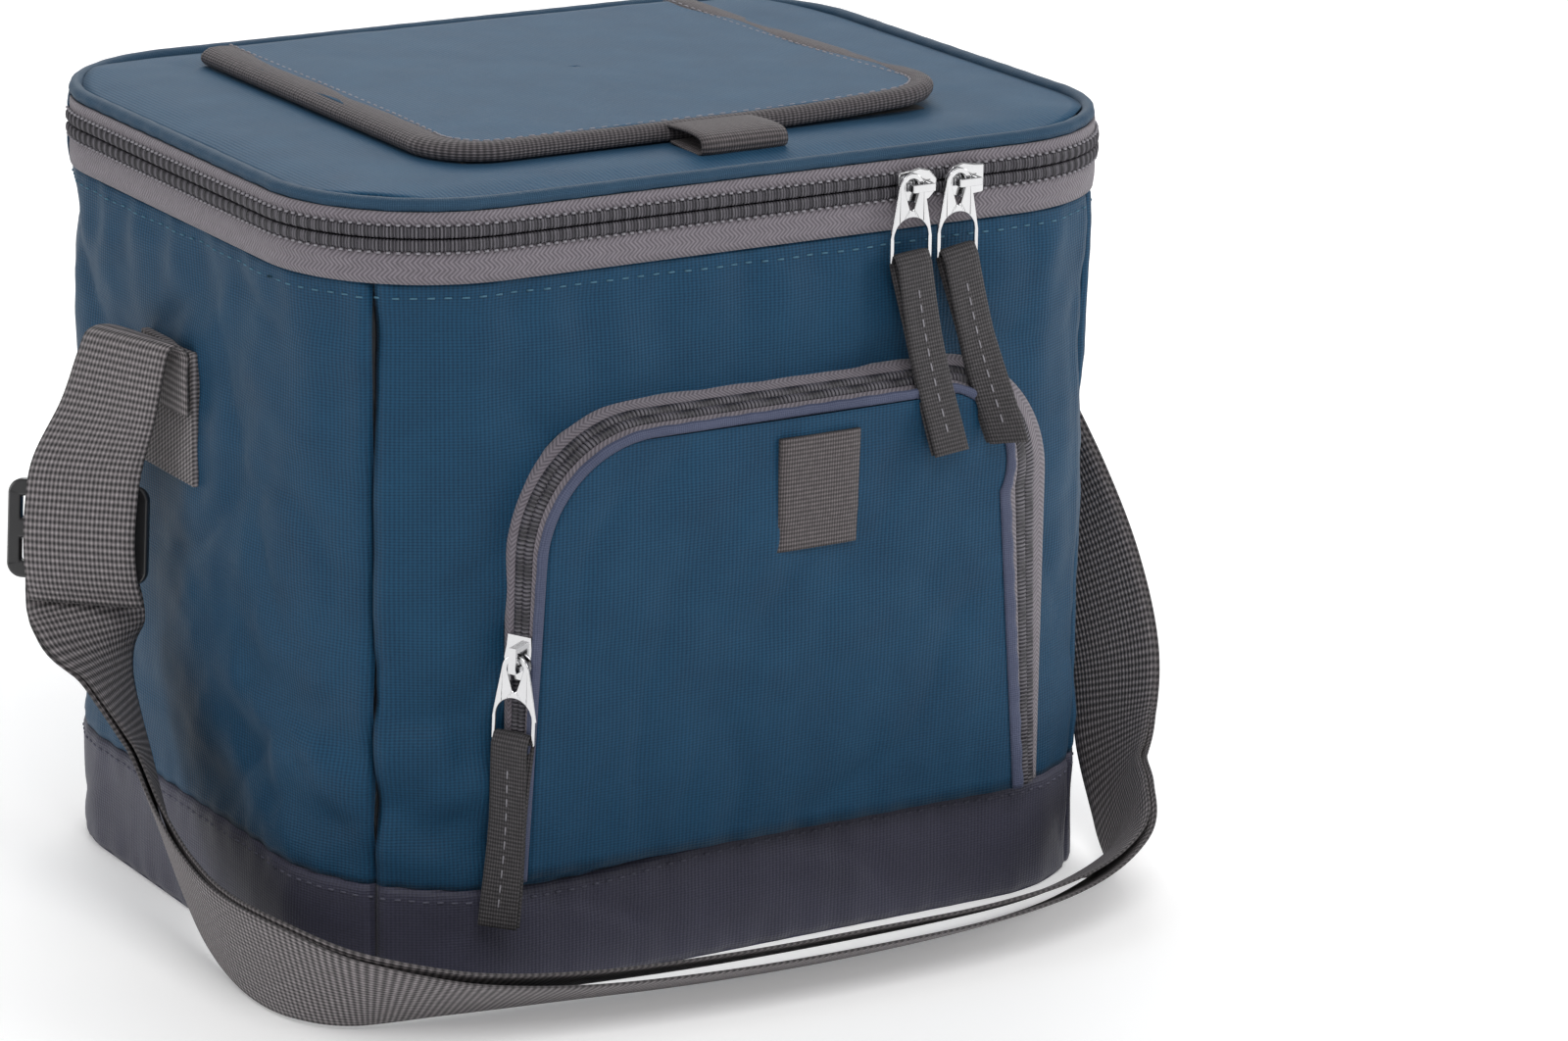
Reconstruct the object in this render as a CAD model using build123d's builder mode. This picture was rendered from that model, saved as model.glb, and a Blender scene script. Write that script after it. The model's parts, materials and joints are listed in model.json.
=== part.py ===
from build123d import *
import math
import os

os.makedirs("parts", exist_ok=True)

# Insulated cooler bag. Millimetres, +Z up, -Y is the front.
# The origin is at the centre of the base, on the surface that the bag stands on.

# ---- driving dimensions: the bag
WIDTH = 300.0
DEPTH = 245.0
CORNER = 55.0            # plan radius of the four upright corners
BASE_HEIGHT = 41.0       # top of the contrast band round the base
WALL_TOP = 239.0         # top of the cloth walls, where the zip tape starts
CHAIN_HEIGHT = 253.3     # centre line of the main zip
BAND_TOP = 261.2         # top of the zip band, under the lid's piping
CLOTH = 1.2
WALL_FOAM = 5.0
BASE_FOAM = 6.0
BASE_BOARD = 2.0
LINER = 0.8
BACK_START = 85.0        # the zip runs round three sides and ends here, in the back corners

# ---- driving dimensions: zips
CHAIN_GAP = 1.4          # channel between the two coils, for the sliders' necks
COIL_WIDTH = 3.4         # one side of the chain
TAPE = 0.9
TAPE_PROUD = 0.6
SLIDER_LENGTH = 14.6
SLIDER_WIDTH = 11.6
LEFT_SLIDER_X = 53.5
RIGHT_SLIDER_X = 71.4

# ---- driving dimensions: lid and hatch
LID_INSET = 5.0
LID_LINING_Z = 254.0
LID_SKIN_Z = 263.4
LID_SKIN = 1.4
LID_TOP = LID_SKIN_Z + LID_SKIN
PIPING = 4.6
HATCH_WIDTH = 128.0
HATCH_FRONT = -57.0
HATCH_BACK = 53.0
FLAP_HALF_WIDTH = 97.0
FLAP_FRONT = -84.0
FLAP_BACK = 91.0
FLAP_CORNER = 24.0
FLAP_BOTTOM = 266.2
FLAP_TOP = 271.4
BINDING = 12.0
PLUG_CLEARANCE = 3.0
PLUG_BOTTOM = 252.5

# ---- driving dimensions: front pocket
POCKET_FACE = -DEPTH / 2 - 0.3
POCKET_LEFT = -95.0
POCKET_RIGHT = 108.0
POCKET_TOP = 194.0
POCKET_BOTTOM = 41.5
POCKET_CORNER = 45.0
POCKET_TAPER = 32.0
POCKET_SLIDER_Z = 117.0

# ---- driving dimensions: shoulder strap
STRAP_WIDTH = 38.0
WEBBING = 1.5
ANCHOR_Y = 2.0
ANCHOR_TOP = 197.0
ANCHOR_BOTTOM = 152.0

HALF_WIDTH = WIDTH / 2
HALF_DEPTH = DEPTH / 2


def finish(piece, label):
    """Names a finished piece and writes its file."""
    piece.part.label = label
    export_step(piece.part, "parts/" + label + ".step")
    print(label, round(piece.part.volume, 1))


def outline(inset):
    """The bag's plan outline, drawn in by inset, for the sketch that is open."""
    return RectangleRounded(WIDTH - 2 * inset, DEPTH - 2 * inset, CORNER - inset)


def plan_ring(outer, inner):
    """A ring between two plan outlines, for the sketch that is open."""
    outline(outer)
    RectangleRounded(WIDTH - 2 * inner, DEPTH - 2 * inner, CORNER - inner, mode=Mode.SUBTRACT)


SIDES = ("front", "right", "back", "left")


def keep_side(side):
    """Keeps one of the four sides of a ring: the seams run up the middle of each corner."""
    x, y = HALF_WIDTH - CORNER, HALF_DEPTH - CORNER
    reach = CORNER + 20
    corners = [(-x, -y), (x, -y), (x, y), (-x, y)]
    far = [(-x - reach, -y - reach), (x + reach, -y - reach), (x + reach, y + reach), (-x - reach, y + reach)]
    i = SIDES.index(side)
    j = (i + 1) % 4
    Polygon(corners[i], far[i], far[j], corners[j], align=None, mode=Mode.INTERSECT)


def keep_zip_sides(back=False):
    """Keeps the three sides that the zip runs round, or the back that it leaves."""
    y = 200.0
    with Locations((0, BACK_START + y / 2 if back else BACK_START - 2 * y)):
        Rectangle(2 * WIDTH, y if back else 4 * y, mode=Mode.INTERSECT)


# ---- base
with BuildPart() as base_panel:
    with BuildSketch():
        outline(CLOTH)
    extrude(amount=CLOTH)
finish(base_panel, "base_panel")

with BuildPart() as base_board:
    with BuildSketch(Plane.XY.offset(CLOTH)):
        outline(CLOTH + 0.3)
    extrude(amount=BASE_BOARD)
finish(base_board, "base_board")

FLOOR_FOAM_Z = CLOTH + BASE_BOARD
with BuildPart() as base_foam:
    with BuildSketch(Plane.XY.offset(FLOOR_FOAM_Z)):
        outline(CLOTH + WALL_FOAM)
    extrude(amount=BASE_FOAM)
finish(base_foam, "base_foam")

# ---- walls: four cloth panels, four base bands and the foam behind them
for side in SIDES:
    with BuildPart() as band:
        with BuildSketch():
            plan_ring(0, CLOTH)
            keep_side(side)
        extrude(amount=BASE_HEIGHT)
    finish(band, "base_band_" + side)

    with BuildPart() as panel:
        with BuildSketch(Plane.XY.offset(BASE_HEIGHT)):
            plan_ring(0, CLOTH)
            keep_side(side)
        extrude(amount=WALL_TOP - BASE_HEIGHT)
    finish(panel, side + "_panel")

    with BuildPart() as foam:
        with BuildSketch(Plane.XY.offset(FLOOR_FOAM_Z)):
            plan_ring(CLOTH, CLOTH + WALL_FOAM)
            keep_side(side)
        extrude(amount=WALL_TOP - 3 - FLOOR_FOAM_Z)
    finish(foam, "wall_foam_" + side)

# ---- liner: a tub inside the foam, and the binding that closes the wall's top edge
LINER_Z = FLOOR_FOAM_Z + BASE_FOAM
with BuildPart() as liner_tub:
    with BuildSketch(Plane.XY.offset(LINER_Z)):
        outline(CLOTH + WALL_FOAM)
    extrude(amount=WALL_TOP - 3 - LINER_Z)
    with BuildSketch(Plane.XY.offset(LINER_Z + LINER)):
        outline(CLOTH + WALL_FOAM + LINER)
    extrude(amount=WALL_TOP, mode=Mode.SUBTRACT)
finish(liner_tub, "liner_tub")

with BuildPart() as rim_binding:
    with BuildSketch(Plane.XY.offset(WALL_TOP - 3)):
        plan_ring(CLOTH, CLOTH + WALL_FOAM + LINER)
    extrude(amount=2.4)
finish(rim_binding, "rim_binding")

# ---- main zip: tape and coil on the body, the same on the lid, and cloth across the back
BODY_COIL_TOP = CHAIN_HEIGHT - CHAIN_GAP / 2
LID_COIL_BOTTOM = CHAIN_HEIGHT + CHAIN_GAP / 2


def band_ring(label, bottom, top, outer, inner, back=False):
    """A length of the zip band, on the three zip sides or across the back."""
    with BuildPart() as strip:
        with BuildSketch(Plane.XY.offset(bottom)):
            plan_ring(outer, inner)
            keep_zip_sides(back)
        extrude(amount=top - bottom)
    finish(strip, label)


TAPE_OUT, TAPE_IN = -TAPE_PROUD, TAPE - TAPE_PROUD
COIL_OUT, COIL_IN = -2.2, 0.4
band_ring("body_zip_tape", WALL_TOP, BODY_COIL_TOP - COIL_WIDTH, TAPE_OUT, TAPE_IN)
band_ring("body_zip_coil", BODY_COIL_TOP - COIL_WIDTH, BODY_COIL_TOP, COIL_OUT, COIL_IN)
band_ring("lid_zip_coil", LID_COIL_BOTTOM, LID_COIL_BOTTOM + COIL_WIDTH, COIL_OUT, COIL_IN)
band_ring("lid_zip_tape", LID_COIL_BOTTOM + COIL_WIDTH, BAND_TOP, TAPE_OUT, TAPE_IN)
band_ring("back_hinge_binding", WALL_TOP, CHAIN_HEIGHT - 0.2, TAPE_OUT, TAPE_IN, back=True)
band_ring("lid_back_binding", CHAIN_HEIGHT + 0.2, BAND_TOP, TAPE_OUT, TAPE_IN, back=True)

# ---- lid
HATCH_MIDDLE = (HATCH_FRONT + HATCH_BACK) / 2
HATCH_DEPTH = HATCH_BACK - HATCH_FRONT


def hatch_hole(grow=0.0):
    """The hatch opening, for the sketch that is open."""
    with Locations((0, HATCH_MIDDLE)):
        RectangleRounded(HATCH_WIDTH + 2 * grow, HATCH_DEPTH + 2 * grow, 8 + grow, mode=Mode.SUBTRACT)


def lid_layer(label, bottom, thickness, inset):
    """A flat layer of the lid with the hatch opening through it."""
    with BuildPart() as layer:
        with BuildSketch(Plane.XY.offset(bottom)):
            outline(inset)
            hatch_hole(LINER)
        extrude(amount=thickness)
    finish(layer, label)


lid_layer("lid_lining", LID_LINING_Z, LINER, LID_INSET)
lid_layer("lid_foam", LID_LINING_Z + LINER, LID_SKIN_Z - LID_LINING_Z - LINER, LID_INSET)
lid_layer("lid_top_panel", LID_SKIN_Z, LID_SKIN, LID_INSET - 0.8)

with BuildPart() as lid_piping:
    with BuildSketch(Plane.XY.offset(BAND_TOP)):
        plan_ring(-0.6, PIPING - 0.6)
    extrude(amount=PIPING)
    fillet(lid_piping.edges().group_by(Axis.Z)[-1], PIPING * 0.3)
finish(lid_piping, "lid_piping")

with BuildPart() as hatch_sleeve:
    with BuildSketch(Plane.XY.offset(LID_LINING_Z)):
        with Locations((0, HATCH_MIDDLE)):
            RectangleRounded(HATCH_WIDTH + 2 * LINER, HATCH_DEPTH + 2 * LINER, 8 + LINER)
        hatch_hole()
    extrude(amount=LID_TOP - LID_LINING_Z)
finish(hatch_sleeve, "hatch_sleeve")

HOOK_WIDTH = 18.0
HOOK_X = HATCH_WIDTH / 2 + 5 + HOOK_WIDTH / 2


def hook_and_loop(label, bottom, thickness):
    """Three strips round the hatch: left, right and front."""
    with BuildPart() as strips:
        with BuildSketch(Plane.XY.offset(bottom)):
            with Locations((-HOOK_X, HATCH_MIDDLE), (HOOK_X, HATCH_MIDDLE)):
                Rectangle(HOOK_WIDTH, HATCH_DEPTH)
            with Locations((0, HATCH_FRONT - 3 - HOOK_WIDTH / 2)):
                Rectangle(2 * HOOK_X + HOOK_WIDTH, HOOK_WIDTH)
        extrude(amount=thickness)
    finish(strips, label)


hook_and_loop("hatch_loop_strips", LID_TOP, 1.1)
hook_and_loop("flap_hook_strips", FLAP_BOTTOM, 1.0)

# ---- hatch flap: lining, padding and top, bound with webbing on three sides


def flap_outline(inset):
    """The flap's outline, square at the hinge and rounded at the two free corners."""
    x, front, r = FLAP_HALF_WIDTH - inset, FLAP_FRONT + inset, FLAP_CORNER - inset
    with BuildLine() as edge:
        Line((-x, FLAP_BACK), (-x, front + r))
        RadiusArc((-x, front + r), (-x + r, front), -r)
        Line((-x + r, front), (x - r, front))
        RadiusArc((x - r, front), (x, front + r), -r)
        Line((x, front + r), (x, FLAP_BACK))
        Line((x, FLAP_BACK), (-x, FLAP_BACK))
    make_face(edge.edges())


def flap_layer(label, bottom, thickness, inset=1.0):
    """One layer of the flap."""
    with BuildPart() as layer:
        with BuildSketch(Plane.XY.offset(bottom)):
            flap_outline(inset)
        extrude(amount=thickness)
    finish(layer, label)


FLAP_LINING_Z = FLAP_BOTTOM + 1.0
flap_layer("flap_lining", FLAP_LINING_Z, LINER)
flap_layer("flap_padding", FLAP_LINING_Z + LINER, 1.6)
flap_layer("flap_top_panel", FLAP_LINING_Z + LINER + 1.6, 1.0)

with BuildPart() as flap_binding:
    with BuildSketch(Plane.XY.offset(FLAP_BOTTOM)):
        flap_outline(0)
        x, y = FLAP_HALF_WIDTH - BINDING, FLAP_FRONT + BINDING
        Polygon((-x, FLAP_BACK), (-x, y), (x, y), (x, FLAP_BACK), align=None, mode=Mode.SUBTRACT)
    extrude(amount=FLAP_TOP - FLAP_BOTTOM)
    with BuildSketch(Plane.XY.offset(FLAP_LINING_Z)):
        flap_outline(1.0)
    extrude(amount=LINER + 2.6, mode=Mode.SUBTRACT)
    with BuildSketch(Plane.XY.offset(FLAP_BOTTOM)):
        with Locations((0, HATCH_MIDDLE - 10)):
            Rectangle(2 * HOOK_X + HOOK_WIDTH + 0.4, HATCH_DEPTH + 26)
    extrude(amount=1.0, mode=Mode.SUBTRACT)
finish(flap_binding, "flap_binding")

TAB_HALF_WIDTH = 16.0
TAB_MIDDLE_Z = 269.0
with BuildPart() as flap_pull_tab:
    with BuildSketch(Plane.YZ.offset(1.0)):
        with Locations((FLAP_FRONT - 11.5, TAB_MIDDLE_Z)):
            SlotOverall(22, 7.0)
            SlotOverall(19.2, 4.4, mode=Mode.SUBTRACT)
    extrude(amount=TAB_HALF_WIDTH, both=True)
finish(flap_pull_tab, "flap_pull_tab")

PLUG_HALF_WIDTH = HATCH_WIDTH / 2 - PLUG_CLEARANCE
PLUG_DEPTH = HATCH_DEPTH - 2 * PLUG_CLEARANCE
with BuildPart() as plug_cover:
    with BuildSketch(Plane.XY.offset(PLUG_BOTTOM)):
        with Locations((0, HATCH_MIDDLE)):
            RectangleRounded(2 * PLUG_HALF_WIDTH, PLUG_DEPTH, 6)
    extrude(amount=FLAP_LINING_Z - PLUG_BOTTOM)
    with BuildSketch(Plane.XY.offset(FLAP_LINING_Z - LINER)):
        with Locations((0, HATCH_MIDDLE + 2)):
            Rectangle(2 * PLUG_HALF_WIDTH + 12, PLUG_DEPTH + 8)
    extrude(amount=LINER)
    with BuildSketch(Plane.XY.offset(PLUG_BOTTOM + LINER)):
        with Locations((0, HATCH_MIDDLE)):
            RectangleRounded(2 * (PLUG_HALF_WIDTH - LINER), PLUG_DEPTH - 2 * LINER, 5.2)
    extrude(amount=FLAP_LINING_Z - PLUG_BOTTOM, mode=Mode.SUBTRACT)
finish(plug_cover, "plug_cover")

with BuildPart() as plug_foam:
    with BuildSketch(Plane.XY.offset(PLUG_BOTTOM + LINER)):
        with Locations((0, HATCH_MIDDLE)):
            RectangleRounded(2 * (PLUG_HALF_WIDTH - LINER), PLUG_DEPTH - 2 * LINER, 5.2)
    extrude(amount=FLAP_LINING_Z - PLUG_BOTTOM - LINER)
finish(plug_foam, "plug_foam")

# ---- front pocket: a wedge with slanted sides, shallow at the base and deeper at the top.
# Each boundary through the zip is a tilted plane, given by its depth at the bottom and at the top.
POCKET_HEIGHT = POCKET_TOP - POCKET_BOTTOM
TAPE_END = (1.5, 4.8)
OUTER_COIL_END = (2.4, 7.1)
INNER_COIL_START = (3.4, 8.3)
INNER_COIL_END = (4.2, 10.6)
INNER_TAPE_END = (4.8, 13.8)
PANEL_END = (6.0, 15.0)


def depth_plane(depths):
    """The tilted plane whose normal points away from the bag."""
    bottom, top = depths
    slope = Vector(0, -(top - bottom), POCKET_HEIGHT)
    origin = Vector(0, POCKET_FACE - bottom, POCKET_BOTTOM)
    return Plane(origin=origin, x_dir=(1, 0, 0), z_dir=Vector(1, 0, 0).cross(slope))


def pocket_outline(grow):
    """The pocket's outline on the bag: an arch, with its feet below the base seam."""
    left, right, top = POCKET_LEFT - grow, POCKET_RIGHT + grow, POCKET_TOP + grow
    r = POCKET_CORNER + grow
    with BuildLine() as edge:
        Line((left, 0), (left, top - r))
        RadiusArc((left, top - r), (left + r, top), r)
        Line((left + r, top), (right - r, top))
        RadiusArc((right - r, top), (right, top - r), r)
        Line((right, top - r), (right, 0))
        Line((right, 0), (left, 0))
    make_face(edge.edges())


def pocket_solid(label, start, end, outer, inner=None):
    """A layer of the pocket between two depths. With inner it is only the slanted wall."""
    with BuildPart() as layer:
        with BuildSketch(Plane.XZ.offset(-POCKET_FACE)):
            pocket_outline(outer)
        extrude(amount=20, taper=POCKET_TAPER)
        if inner is not None:
            with BuildSketch(Plane.XZ.offset(-POCKET_FACE)):
                pocket_outline(inner)
            extrude(amount=20, taper=POCKET_TAPER, mode=Mode.SUBTRACT)
        if start is not None:
            split(bisect_by=depth_plane(start), keep=Keep.TOP)
        split(bisect_by=depth_plane(end), keep=Keep.BOTTOM)
        split(bisect_by=Plane.XY.offset(POCKET_BOTTOM), keep=Keep.TOP)
    finish(layer, label)


pocket_solid("pocket_outer_tape", None, TAPE_END, 0, -1.2)
pocket_solid("pocket_outer_coil", TAPE_END, OUTER_COIL_END, 1.2, -1.8)
pocket_solid("pocket_inner_coil", INNER_COIL_START, INNER_COIL_END, 1.2, -1.8)
pocket_solid("pocket_inner_tape", INNER_COIL_END, INNER_TAPE_END, 0, -1.2)
pocket_solid("pocket_panel", INNER_TAPE_END, PANEL_END, -1.6)
pocket_solid("pocket_piping", INNER_TAPE_END, (PANEL_END[0] + 1.2, PANEL_END[1] + 1.2), 1.2, -1.6)

front = depth_plane(PANEL_END)
with BuildPart() as pocket_tab:
    with BuildSketch(front):
        with Locations((10.0, 119.0)):
            Rectangle(30, 38)
    extrude(amount=2.6)
finish(pocket_tab, "pocket_tab")

# ---- zip sliders. Each frame has x along the zip towards the slider's nose and z out of the bag.
FRONT_PLATE = (2.0, 3.8)
BACK_PLATE = (-3.1, -1.5)
POCKET_FRONT_PLATE = (1.6, 3.2)
POCKET_BACK_PLATE = (-3.0, -1.9)
BRIDGE_GAP = 3.2
BRIDGE = 1.2
LEG_OFFSET = 3.4
LEG = 1.8
PULL_THICKNESS = 1.2
PULL_GAP = 1.0
PULL_BAR_Y = -23.5
PULLER_WIDTH = 12.8
PULLER_LENGTH = 62.0


def slab(frame, low, high, points):
    """A plate between two heights of a frame, from the corner points of its outline."""
    with BuildSketch(frame.offset(low)) as face:
        Polygon(*points, align=None)
    extrude(face.sketch, amount=high - low)


def bar(frame, low, high, x0, x1, half):
    """A rectangular bar across a frame, from x0 to x1."""
    slab(frame, low, high, [(x0, -half), (x1, -half), (x1, half), (x0, half)])


def slider_body(label, frame, w, front_plate, back_plate, back_edge, slant=0.0):
    """Front and back plates joined by a thin neck at the nose, with a bridge for the pull."""
    half = SLIDER_LENGTH / 2
    shape = [(-half, -0.8 * w), (-3.4, -0.86 * w), (0.6, -w), (4.4, -0.82 * w), (half, -0.3 * w)]
    shape += [(x, -y) for x, y in reversed(shape)]
    under = front_plate[1] + BRIDGE_GAP
    arch = LEG_OFFSET + LEG / 2
    with BuildPart() as slider:
        slab(frame, *front_plate, shape)
        slab(frame, *back_plate, [(-half, back_edge), (half, back_edge), (half, 0.9 * w), (-half, 0.9 * w)])
        side = Plane(origin=frame.origin, x_dir=frame.y_dir, z_dir=frame.x_dir)
        low, high = back_plate[0], front_plate[1]
        y0, y1 = -slant * low, -slant * high
        slab(side, 4.4, 6.6, [(y0 - 0.3, low), (y0 + 0.3, low), (y1 + 0.3, high), (y1 - 0.3, high)])
        for x in (-LEG_OFFSET, LEG_OFFSET):
            bar(frame, front_plate[1], under, x - LEG / 2, x + LEG / 2, 1.3)
        bar(frame, under, under + BRIDGE, -arch, arch, 1.3)
    finish(slider, label)


def pull_plate(label, frame):
    """A flat metal pull that hangs down -y, with an eye at the frame's origin and a D at its foot."""
    with BuildPart() as pull:
        with BuildSketch(frame):
            Circle(4.8)
            with Locations((0, -20.4)):
                Rectangle(15.6, 8)
            make_hull()
            with BuildSketch(mode=Mode.SUBTRACT):
                Circle(2.9)
                with Locations((0, -6.6)):
                    Circle(0.9)
                make_hull()
            with Locations((0, -16.4)):
                Circle(6.6, mode=Mode.SUBTRACT)
            with Locations((0, -19.5)):
                Rectangle(13.2, 6.2, mode=Mode.SUBTRACT)
        extrude(amount=PULL_THICKNESS)
    finish(pull, label)


def webbing_puller(label, frame, lean):
    """A doubled webbing strip on the pull's foot bar, leaning out by lean at its free end."""
    side = Plane(origin=frame.origin, x_dir=frame.y_dir, z_dir=frame.x_dir)
    middle = PULL_THICKNESS / 2
    foot = PULL_BAR_Y - PULLER_LENGTH
    with BuildPart() as puller:
        with BuildSketch(side):
            Polygon(
                (PULL_BAR_Y - 1.5, middle - 1.5),
                (PULL_BAR_Y - 1.5, middle + 1.5),
                (foot, middle + 1.3 + lean),
                (foot, middle - 1.3 + lean),
                align=None,
            )
            with Locations((PULL_BAR_Y, middle)):
                RectangleRounded(5.4, 5.0, 1.2)
                RectangleRounded(3.0, 2.6, 0.5, mode=Mode.SUBTRACT)
        extrude(amount=PULLER_WIDTH / 2, both=True)
    finish(puller, label)


CHAIN_Y = -HALF_DEPTH - TAPE_PROUD
for side, x, nose in (("left", LEFT_SLIDER_X, 1), ("right", RIGHT_SLIDER_X, -1)):
    slider_frame = Plane(origin=(x, CHAIN_Y, CHAIN_HEIGHT), x_dir=(nose, 0, 0), z_dir=(0, -1, 0))
    half = SLIDER_WIDTH / 2
    slider_body("slider_" + side, slider_frame, half, FRONT_PLATE, BACK_PLATE, -0.9 * half)
    eye = (x - LEG_OFFSET, CHAIN_Y - FRONT_PLATE[1] - PULL_GAP, CHAIN_HEIGHT)
    pull_frame = Plane(origin=eye, x_dir=(1, 0, 0), z_dir=(0, -1, 0))
    pull_plate("pull_" + side, pull_frame)
    webbing_puller("puller_" + side, pull_frame, 17)

# The pocket's slider follows the slanted wall, so its frame is worked out from the wall's depths.
WALL_SLOPE = math.tan(math.radians(POCKET_TAPER))


def chain_point(z):
    """The middle of the pocket's left zip at height z."""
    t = (z - POCKET_BOTTOM) / POCKET_HEIGHT
    low = (OUTER_COIL_END[0] + INNER_COIL_START[0]) / 2
    high = (OUTER_COIL_END[1] + INNER_COIL_START[1]) / 2
    depth = low + (high - low) * t
    return Vector(POCKET_LEFT + WALL_SLOPE * depth, POCKET_FACE - depth, z)


slider_at = chain_point(POCKET_SLIDER_Z)
along = (chain_point(POCKET_BOTTOM) - slider_at).normalized()
wall_normal = Vector(-1, -WALL_SLOPE, 0)
outward = (wall_normal - along * wall_normal.dot(along)).normalized()
pocket_frame = Plane(origin=slider_at, x_dir=along, z_dir=outward)
slider_body("pocket_slider", pocket_frame, 5.2, POCKET_FRONT_PLATE, POCKET_BACK_PLATE, 0.9, WALL_SLOPE)

# This pull hangs down the zip from the lower leg, and its eye's bar runs under the bridge.
eye = slider_at + along * LEG_OFFSET + outward * (POCKET_FRONT_PLATE[1] + PULL_GAP)
pocket_pull_frame = Plane(origin=eye, x_dir=outward.cross(along), z_dir=outward)
pull_plate("pocket_pull", pocket_pull_frame)
webbing_puller("pocket_puller", pocket_pull_frame, 5)
print("pocket slider at", slider_at, "runs along", along, "faces", outward)
print("pocket pull bar at", eye - along * 3.85 + outward * PULL_THICKNESS / 2)

# ---- shoulder strap: sewn patches, webbing loops over them, adjuster and two long plies.
# Each station is a point on the strap's centre line and a vector from its inner edge to its outer edge.
with BuildPart() as strap_patches:
    for x in (-HALF_WIDTH - 3.2, HALF_WIDTH + 0.2):
        with BuildSketch(Plane.YZ.offset(x)):
            with Locations((ANCHOR_Y, (ANCHOR_TOP + ANCHOR_BOTTOM) / 2)):
                Rectangle(STRAP_WIDTH, ANCHOR_TOP - ANCHOR_BOTTOM)
        extrude(amount=3)
finish(strap_patches, "strap_patches")

STRAP_STATIONS = [
    # centre, width vector, gap between the plies
    ((-177.5, 16.6, 128), (-28, 26, 0), 2.4),
    ((-178.8, 15.2, 113.5), (-28, 26, 0), 2.4),
    ((-179.5, 6, 101), (-36, 4, 7), 2.4),
    ((-177, 0, 88), (-28, -22, 10), 2.4),
    ((-171, -10, 63), (-20, -28, 16), 2.4),
    ((-170, -28, 40), (-16, -20, 28), 2.4),
    ((-171, -54, 25), (-12, -6, 36), 2.4),
    ((-172, -84, 20), (-10, 0, 35), 2.4),
    ((-168, -114, 20), (-10, -8, 34), 2.6),
    ((-153, -136, 18), (-12, -20, 30), 2.8),
    ((-125, -147, 15), (-14, -28, 22), 3.2),
    ((-88, -154, 13), (-10, -33, 18), 4.0),
    ((-40, -161, 12.5), (-4, -34, 17), 5.0),
    ((10, -164, 12.5), (0, -34, 17), 5.6),
    ((60, -163, 12.5), (2, -34, 17), 5.0),
    ((98, -156, 13), (8, -33, 20), 4.0),
    ((124, -147, 17), (10, -28, 26), 3.0),
    ((141, -133, 21), (4, -16, 33), 2.6),
    ((152, -112, 26), (4, -18, 30), 2.4),
    ((160, -96, 42), (10, -25, 24), 2.4),
    ((166, -84, 66), (14, -30, 18), 2.4),
    ((168, -68, 92), (14, -34, 12), 2.4),
    ((167, -50, 118), (10, -36, 6), 2.4),
    ((164, -26, 148), (6, -36, 8), 2.4),
    ((161, -6, 172), (3, -37, 6), 2.4),
]


def stations_frames(stations):
    """A plane across the ribbon at each station: x along its width, z along its length."""
    frames = []
    for i, (centre, width, gap) in enumerate(stations):
        before = Vector(*stations[max(i - 1, 0)][0])
        after = Vector(*stations[min(i + 1, len(stations) - 1)][0])
        run = (after - before).normalized()
        wide = Vector(*width)
        wide = (wide - run * wide.dot(run)).normalized()
        frames.append((Plane(origin=centre, x_dir=wide, z_dir=run), gap))
    return frames


def ribbon(stations, side):
    """Adds a flat webbing ribbon through the stations, on one side of their centre line."""
    sections = []
    for frame, gap in stations_frames(stations):
        with BuildSketch(frame) as section:
            with Locations((0, side * gap / 2)):
                Rectangle(STRAP_WIDTH, WEBBING)
        sections.append(section.sketch)
    for start, end in zip(sections, sections[1:]):
        loft([start, end], ruled=True)


for label, side in (("strap_outer_ply", -1), ("strap_inner_ply", 1)):
    with BuildPart() as webbing:
        ribbon(STRAP_STATIONS, side)
    finish(webbing, label)

# Each end's webbing starts beside its patch and folds outwards over the top.
FOLD = [(154.6, 176), (154.6, 190), (155.6, 195), (158.5, 198.4), (162.4, 198.6), (165, 195.6), (165.8, 190)]
LEFT_TAIL = [
    ((-165.8, ANCHOR_Y, 190), (0, 38, 0), 0),
    ((-171, 5, 176), (-16, 34, 0), 0),
    ((-179, 8.6, 157), (-27, 27, 0), 0),
    ((-183.4, 8.6, 143), (-28, 26, 0), 0),
    ((-185.5, 8, 133), (-28, 26, 0), 0),
]


def fold(side):
    """Adds the folded end of the webbing, on the left (-1) or the right (1)."""
    back = ANCHOR_Y + STRAP_WIDTH / 2
    with BuildSketch(Plane.XZ.offset(-back)) as band:
        with BuildLine() as path:
            Polyline(*[(side * x, z) for x, z in FOLD])
        trace(path.edges(), WEBBING)
    extrude(band.sketch, amount=STRAP_WIDTH)


with BuildPart() as anchor_loop_left:
    fold(-1)
    ribbon(LEFT_TAIL, 1)
finish(anchor_loop_left, "anchor_loop_left")

with BuildPart() as anchor_loop_right:
    fold(1)
finish(anchor_loop_right, "anchor_loop_right")

ADJUSTER_WIDTH = 48.0
ADJUSTER_HEIGHT = 33.0
SLOT = 7.5
adjuster_frame = Plane(origin=(-180.4, 13.4, 133), x_dir=(-28, 26, 0), z_dir=(-26, -28, 5))
with BuildPart() as strap_adjuster:
    with BuildSketch(adjuster_frame.offset(-1.7)):
        RectangleRounded(ADJUSTER_WIDTH, ADJUSTER_HEIGHT, 5)
        with Locations((0, 7), (0, -7)):
            Rectangle(STRAP_WIDTH + 1, SLOT, mode=Mode.SUBTRACT)
    extrude(amount=3.4)
finish(strap_adjuster, "strap_adjuster")
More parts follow.
